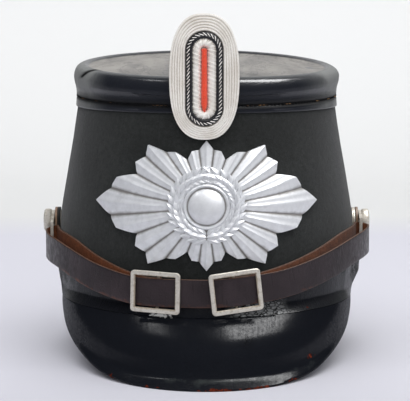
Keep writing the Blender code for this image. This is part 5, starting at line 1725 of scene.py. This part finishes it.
def make_cockade_rings(silver, bright, tan, black):
    floor = COCKADE_BACK_Y - BACKING_THICKNESS - GAP
    core = half_round(CORD_HALF, CORD_WIDTH, 2.4, black, "cord_core", floor)
    sliver = arched_thread("sliver_item", 3.1, 0.24, 0.28, 6, 6, along_path=True)
    slivers = run_tree(
        "cord_slivers", row_tree(), ring_path(CORD_HALF, CORD_SILVER_INSET, floor - 2.20), FACING,
        {"Item": sliver, "Spacing": look().cord_spacing, "Slant": -0.62, "Sway": 0.26,
         "Size change": 0.35, "Material": bright})
    twist = run_tree(
        "cord_twist", wound_tree(), ring_path(CORD_HALF, CORD_WIDTH - 1.2, floor - 1.9), FACING,
        {"Strands": 3, "Turns": 60, "Points": 900, "Half width": 0.55 * MM,
         "Half height": 0.45 * MM, "Strand radius": 0.42 * MM, "Sides": 6, "Material": black})
    fit(join_pieces("two_colour_cord", [core, slivers, twist]), "two_colour_cord", "cockade_cord")
    core = half_round(BULLION_HALF, BULLION_WIDTH, 2.6, tan, "bullion_core", floor, 0.92)
    strands = [core]
    for radius, spacing, rise, material in ((0.32, 0.72, 1.95, silver), (0.58, 2.30, 1.80, bright)):
        item = arched_thread("bullion_item", BULLION_WIDTH + 0.9, radius, rise, 6, 8)
        path = ring_path(BULLION_HALF, BULLION_WIDTH / 2.0, floor - 0.72)
        strands.append(run_tree("bullion_threads", row_tree(), path, FACING, {
            "Item": item, "Spacing": spacing * MM, "Slant": -0.42, "Sway": 0.14,
            "Size change": 0.06, "Material": material}))
    fit(join_pieces("silver_bullion_ring", strands), "silver_bullion", "cockade_bullion")


def make_cockade_bar():
    """A padded bar bound with fine red thread."""
    floor = COCKADE_BACK_Y - BACKING_THICKNESS - GAP
    up = np.linspace(-1.0, 1.0, 90)
    z = COCKADE_HEIGHT - BAR_DROP + BAR_HALF[1] * up
    half = (BAR_HALF[0] - 0.16 * up) * (1.0 - 0.55 * smooth_step((-up - 0.70) / 0.3))
    half = half * np.clip((1.0 - np.abs(up)) / 0.03, 0.0, 1.0) ** 0.35 + 0.05
    turn = np.linspace(0.0, math.pi, 17)
    height = np.minimum(1.0, half / BAR_HALF[0] + 0.2) * 3.3
    points = together(
        COCKADE_X + half[None, :] * np.cos(turn)[:, None],
        floor - height[None, :] * np.sin(turn)[:, None] ** 0.8, z[None, :]).copy()
    points[..., 1] -= 0.12 * cloud(points * np.array([1.0, 1.0, 2.0]), 1.2) * np.sin(turn)[:, None]
    skin = Skin()
    add_closed_sweep(skin, points)
    fit(skin.object("red_centre_bar", red_thread_material(), 60.0), "red_bar", "cockade_bar")


def make_cockade():
    silver_colour = look().silver_colour
    silver = thread_material("Silver braid", silver_colour, (0.62, 0.55, 0.46))
    bright = thread_material(
        "Bullion wire", [part * 1.06 for part in silver_colour], (0.60, 0.52, 0.42), 0.38)
    tan = thread_material("Bullion shadow", (0.66, 0.59, 0.50), (0.40, 0.32, 0.24))
    black = thread_material("Black cord", (0.012, 0.012, 0.016), (0.006, 0.006, 0.008), 0.42)
    ground = thread_material("Braid ground", (0.66, 0.60, 0.53), (0.40, 0.33, 0.25))
    make_braid(silver, ground)
    make_cockade_rings(silver, bright, tan, black)
    make_cockade_bar()


# -------- badge

def badge_point(across, up, stand_off):
    """Points of the badge, laid on the crown from their place on its flat pattern."""
    z = BADGE_HEIGHT + up
    half_width = read_smooth(CROWN_SECTIONS, z)[0]
    return crown_point(np.degrees(across / half_width), z, stand_off)


def zigzag(turn, count):
    """Zero at the middle of each of a count of rays, one between them."""
    return np.abs((turn * count / math.tau + 0.5) % 1.0 - 0.5) * 2.0


def badge_outline(turn):
    """Reach of the rayed outline in each direction of the flat pattern."""
    plain = (np.abs(np.cos(turn) / BADGE_HALF_WIDTH) ** BADGE_POWER
             + np.abs(np.sin(turn) / BADGE_HALF_HEIGHT) ** BADGE_POWER) ** (-1 / BADGE_POWER)
    tip = 1.0 - 2.0 * zigzag(turn, BADGE_RAYS)
    plain = plain * (1.0 - BADGE_POINT_DEPTH * zigzag(turn, BADGE_POINTS))
    return plain * (1.0 + BADGE_RAY_DEPTH * tip)


def make_badge():
    """A rayed plate with a laurel wreath round a plain domed boss."""
    silver = badge_material()
    columns = BADGE_RAYS * 16
    turn = once_round(columns)
    ray, flute = zigzag(turn, BADGE_RAYS), zigzag(turn, BADGE_RAYS * 3)
    reach = badge_outline(turn)
    rows, heights, hollows = [], [], []
    for part in np.concatenate([[1.0, 1.0, 0.995], np.linspace(0.97, 0.0, 34)]):
        rows.append(BADGE_WREATH_RADIUS - 5.0 + (reach - BADGE_WREATH_RADIUS + 5.0) * part)
        ridge = 1.15 * (1.0 - ray) ** 0.8 + 0.30 * (1.0 - flute) - 0.45
        heights.append(
            1.15 + 1.6 * (1.0 - part) ** 0.8 + ridge * smooth_step(part / 0.15) * (0.55 + 0.45 * part))
        hollows.append(0.9 * ray ** 3 + 0.25 * flute ** 3 + 0.3 * bump(part, 0.12))
    heights[0] = np.zeros(columns)
    heights[1] = heights[2] * 0.62
    for radius, height, dark in BOSS_PROFILE:
        rows.append(np.full(columns, radius))
        heights.append(np.full(columns, height))
        hollows.append(np.full(columns, dark))
    reach_grid, height_grid = np.stack(rows), np.stack(heights)
    across, up = reach_grid * np.cos(turn), reach_grid * np.sin(turn)
    front = badge_point(across, up, BADGE_SEAT + height_grid)
    inner = np.linspace(0.02, 1.0, 22)[:-1, None] * reach
    behind = badge_point(inner * np.cos(turn), inner * np.sin(turn), BADGE_SEAT)
    points = np.concatenate([behind, front])
    skin = Skin()
    hollow = np.concatenate([np.full(behind.shape[:2], 0.8), np.stack(hollows)])
    numbers = skin.add(points, wrap_columns=True, hollow=hollow)
    for row, stand_off in ((0, 0.0), (-1, 7.02)):
        skin.cap(numbers[row], badge_point(0.0, 0.0, BADGE_SEAT + stand_off), hollow=0.0)
    plate = skin.object("badge_plate", silver, 32.0)
    pieces = [plate] + make_wreath(silver) + make_badge_posts(silver)
    fit(join_pieces("rayed_badge", pieces), "badge_metal", "front_badge")


def leaf_object(length, width, rise):
    """A pointed laurel leaf along X with a raised rib, curling down at its rim."""
    shape = bmesh.new()
    steps, across = 10, 6
    rows = []
    for i in range(steps + 1):
        part = i / steps
        half = width / 2.0 * math.sin(math.pi * part ** 0.8) ** 0.85 + 0.02
        row = []
        for k in range(across + 1):
            side = 2.0 * k / across - 1.0
            z = rise * (0.35 + 0.65 * math.sin(math.pi * part)) * (1.0 - abs(side) ** 1.6)
            z += 0.30 * max(0.0, 1.0 - abs(side) * 3.0) * math.sin(math.pi * part)
            row.append(shape.verts.new(Vector((length * (part - 0.15), half * side, z)) * MM))
        rows.append(row)
    for a, b in zip(rows, rows[1:]):
        for k in range(across):
            shape.faces.new((a[k], a[k + 1], b[k + 1], b[k]))
    grown = bmesh.ops.extrude_edge_only(shape, edges=[e for e in shape.edges if e.is_boundary])
    for item in grown["geom"]:
        if isinstance(item, bmesh.types.BMVert):
            item.co.z -= 1.3 * MM
    bmesh.ops.recalc_face_normals(shape, faces=shape.faces)
    return item_object("leaf_item", shape)


def make_wreath(material):
    """Two half wreaths of overlapping leaves that rise from the foot of the boss."""
    pieces = []
    for hand in (1.0, -1.0):
        for radius, slant, length in ((18.3, -0.50, 7.2), (14.9, 0.50, 6.4), (16.6, 0.0, 7.4)):
            turn = np.radians(np.linspace(-86.0, 82.0, 120))
            across, up = hand * radius * np.cos(turn), radius * np.sin(turn)
            line = badge_point(across, up, BADGE_SEAT + (3.0 if slant else 3.6))
            outward = unit(badge_point(across, up, 12.0) - badge_point(across, up, 2.0))
            leaf = leaf_object(length, 3.1, 0.85)
            spacing = radius * math.radians(168.0) / (look().leaf_pairs + 0.5) * MM
            pieces.append(run_tree("wreath_leaves", row_tree(), line, outward, {
                "Item": leaf, "Spacing": spacing, "Slant": hand * slant, "Sway": 0.16,
                "Size change": 0.12, "Material": material}, closed=False, sharp_from=45.0))
    for piece in pieces:
        piece.data.attributes.new("hollow", "FLOAT", "POINT")
    return pieces


def make_badge_posts(material):
    """The badge's two posts, through the crown's wall."""
    posts = []
    for sign in (-1.0, 1.0):
        face = badge_point(np.array(sign * 30.0), 0.0, 0.0)
        inwards = unit(np.array([-face[0], -2.0 - face[1], 0.0]))
        level = np.array([-inwards[1], inwards[0], 0.0])
        turn = once_round(16)[None, :]
        along = np.array([7.5, 7.2, -1.6])[:, None, None]
        radius = np.array([1.05, 1.3, 1.3])[:, None, None]
        ring = level * np.cos(turn)[..., None] + np.array([0.0, 0.0, 1.0]) * np.sin(turn)[..., None]
        skin = Skin()
        add_rod(skin, face + inwards * along + ring * radius, hollow=0.5)
        posts.append(skin.object("badge_post", material))
    return posts


# -------- studio

def sweep_material():
    """Pale table that turns into a cream backdrop behind its far edge, with painted shade towards the
    camera, along the foot of the backdrop and far out to the sides.
    """
    studio = bpy.context.scene.shako_studio
    material, tree, places = start_material("Table and backdrop", roughness=0.75)
    axes = put(tree, "ShaderNodeSeparateXYZ", {0: places}).outputs
    soft = speckle(places, 3.0, 3.0)
    floor = blend(
        spread(soft, 0.3, 0.7, 0.0, 0.25), studio.floor_colour, tint(studio.floor_colour, 1.04))
    # Painted shade: the table darkens towards the camera, down to a tenth.
    floor = darken(floor, spread(axes["Y"], -0.55, -0.08, 0.10, 1.0))
    # Painted shade: the backdrop is darker where it curves up from the table.
    wall = blend(spread(axes["Y"], 0.5, 1.15), tint(studio.wall_colour, 0.89), studio.wall_colour)
    colour = blend(spread(axes["Y"], 0.44, 0.56), floor, wall)
    # Painted shade: table and backdrop darken far out to both sides.
    side = spread(calculate("ABSOLUTE", axes["X"]), 0.42, 0.95, 1.0, 0.12)
    return finish_material(material, colour=darken(colour, side))


def make_sweep():
    """One sheet: level table, a wide curve, and an upright backdrop."""
    profile = [(-2.2, 0.0), (-0.6, 0.0), (0.45, 0.0), (0.75, 0.0)]
    for i in range(1, 17):
        turn = math.pi / 2.0 * i / 16
        profile.append((0.75 + 0.6 * math.sin(turn), 0.6 - 0.6 * math.cos(turn)))
    profile.append((1.35, 2.6))
    points = np.array([[(x, y, z) for x in np.linspace(-2.6, 2.6, 9)] for y, z in profile])
    skin = Skin()
    skin.add(points / MM - np.array([0.0, HAT_SHIFT_Y, 0.0]))
    sweep = skin.object("table_sweep", sweep_material(), turn_out=False)


def soft_box(name, spot, aim, width, height, power, lights, turn=0.0):
    """A rectangular soft light that faces a point, for "matt" or for "glossy" surfaces."""
    lamp = bpy.data.lights.new(name, "AREA")
    lamp.shape = "RECTANGLE"
    lamp.size, lamp.size_y = width, height
    lamp.energy = power
    made = place(name, lamp)
    made.location = spot
    facing = (Vector(aim) - Vector(spot)).to_track_quat("-Z", "Y")
    made.rotation_euler = (facing @ Quaternion((0.0, 0.0, 1.0), turn)).to_euler()
    made.visible_glossy = lights == "glossy"
    made.visible_diffuse = lights == "matt"


def make_lights():
    studio = bpy.context.scene.shako_studio
    soft_box("key_box", (0.02, -0.30, 1.12), (0.0, -0.20, 0.0), 1.15, 0.95, studio.key_power, "matt")
    soft_box("key_shine", (0.635, -0.14, 1.12), (0.635, -0.14, 0.0), 0.88, 0.66,
             studio.shine_power, "glossy", math.radians(30.0))
    soft_box("left_shine", (-0.66, -0.22, 1.12), (-0.66, -0.22, 0.0), 0.34, 0.16,
             studio.shine_power * 0.06, "glossy", math.radians(-30.0))
    soft_box("ceiling", (0.0, 0.10, 1.9), (0.0, 0.15, 0.0), 3.2, 2.8, studio.ceiling_power, "matt")
    soft_box("front_air", (0.30, -2.1, 0.9), (0.0, 0.0, 0.1), 2.4, 1.6, studio.fill_power, "matt")
    soft_box("wall_box", (0.0, 0.3, 2.0), (0.0, 1.35, 0.75), 2.6, 0.5, studio.wall_power, "matt")
    world = bpy.data.worlds.new("Studio air")
    world.use_nodes = True
    tree = world.node_tree
    diffuse = put(tree, "ShaderNodeLightPath").outputs["Is Diffuse Ray"]
    strength = times_plus(diffuse, 0.61, 0.05)
    air = tree.nodes["Background"]
    air.inputs[0].default_value = (0.84, 0.86, 0.92, 1.0)
    tree.links.new(strength, air.inputs[1])
    bpy.context.scene.world = world


def make_camera():
    studio = bpy.context.scene.shako_studio
    lens = bpy.data.cameras.new("photo_camera")
    lens.lens = studio.lens
    lens.sensor_width = 36.0
    lens.shift_x = -1.5 / 410.0
    lens.clip_start, lens.clip_end = 0.05, 20.0
    camera = place("photo_camera", lens)
    camera.location = (0.0, HAT_SHIFT_Y * MM - studio.distance, studio.height)
    camera.rotation_euler = (math.pi / 2.0 - studio.pitch, 0.0, 0.0)
    bpy.context.scene.camera = camera
    bpy.context.scene.view_settings.view_transform = "Standard"


# -------- operators and panel

class SHAKO_OT_crown(Operator):
    """Make the felt crown."""
    bl_idname = "shako.crown"
    bl_label = "Crown"

    def execute(self, context):
        make_crown()
        return {"FINISHED"}


class SHAKO_OT_top(Operator):
    """Make the leather top with its stitches."""
    bl_idname = "shako.top"
    bl_label = "Leather top"

    def execute(self, context):
        make_top()
        return {"FINISHED"}


class SHAKO_OT_band(Operator):
    """Make the lacquered base band."""
    bl_idname = "shako.band"
    bl_label = "Base band"

    def execute(self, context):
        make_band()
        return {"FINISHED"}


class SHAKO_OT_peaks(Operator):
    """Make the front peak and the neck peak."""
    bl_idname = "shako.peaks"
    bl_label = "Peaks"

    def execute(self, context):
        make_visor()
        make_guard()
        return {"FINISHED"}


class SHAKO_OT_strap(Operator):
    """Make the chin strap."""
    bl_idname = "shako.strap"
    bl_label = "Chin strap"

    def execute(self, context):
        make_strap()
        return {"FINISHED"}


class SHAKO_OT_buckles(Operator):
    """Make the two sliding buckles."""
    bl_idname = "shako.buckles"
    bl_label = "Buckles"

    def execute(self, context):
        make_buckles()
        return {"FINISHED"}


class SHAKO_OT_side_fittings(Operator):
    """Make the posts, leather tabs and strap lugs at both sides."""
    bl_idname = "shako.side_fittings"
    bl_label = "Side fittings"

    def execute(self, context):
        make_side_fittings()
        return {"FINISHED"}


class SHAKO_OT_cockade(Operator):
    """Make the oval cockade."""
    bl_idname = "shako.cockade"
    bl_label = "Cockade"

    def execute(self, context):
        make_cockade()
        return {"FINISHED"}


class SHAKO_OT_badge(Operator):
    """Make the rayed front badge."""
    bl_idname = "shako.badge"
    bl_label = "Front badge"

    def execute(self, context):
        make_badge()
        return {"FINISHED"}


class SHAKO_OT_stage(Operator):
    """Make the table, backdrop, lights and camera."""
    bl_idname = "shako.stage"
    bl_label = "Studio"

    def execute(self, context):
        make_sweep()
        make_lights()
        make_camera()
        return {"FINISHED"}


STEPS = (SHAKO_OT_crown, SHAKO_OT_top, SHAKO_OT_band, SHAKO_OT_peaks, SHAKO_OT_strap,
         SHAKO_OT_buckles, SHAKO_OT_side_fittings, SHAKO_OT_cockade, SHAKO_OT_badge,
         SHAKO_OT_stage)


class SHAKO_PT_pieces(Panel):
    """Lists the hat's pieces and their settings."""
    bl_label = "Shako"
    bl_idname = "SHAKO_PT_pieces"
    bl_space_type = "VIEW_3D"
    bl_region_type = "UI"
    bl_category = "Shako"

    def draw(self, context):
        for group in (context.scene.shako_look, context.scene.shako_studio):
            for name in group.__annotations__:
                self.layout.prop(group, name)
        for step in STEPS:
            self.layout.operator(step.bl_idname)


CLASSES = (ShakoLook, ShakoStudio, *STEPS, SHAKO_PT_pieces)


def register():
    for kind in CLASSES:
        bpy.utils.register_class(kind)
    bpy.types.Scene.shako_look = PointerProperty(type=ShakoLook)
    bpy.types.Scene.shako_studio = PointerProperty(type=ShakoStudio)


def unregister():
    del bpy.types.Scene.shako_look
    del bpy.types.Scene.shako_studio
    for kind in reversed(CLASSES):
        bpy.utils.unregister_class(kind)


def main():
    register()
    make_shared_effects()
    for step in STEPS:
        group, name = step.bl_idname.split(".")
        getattr(getattr(bpy.ops, group), name)()


if __name__ == "__main__":
    main()
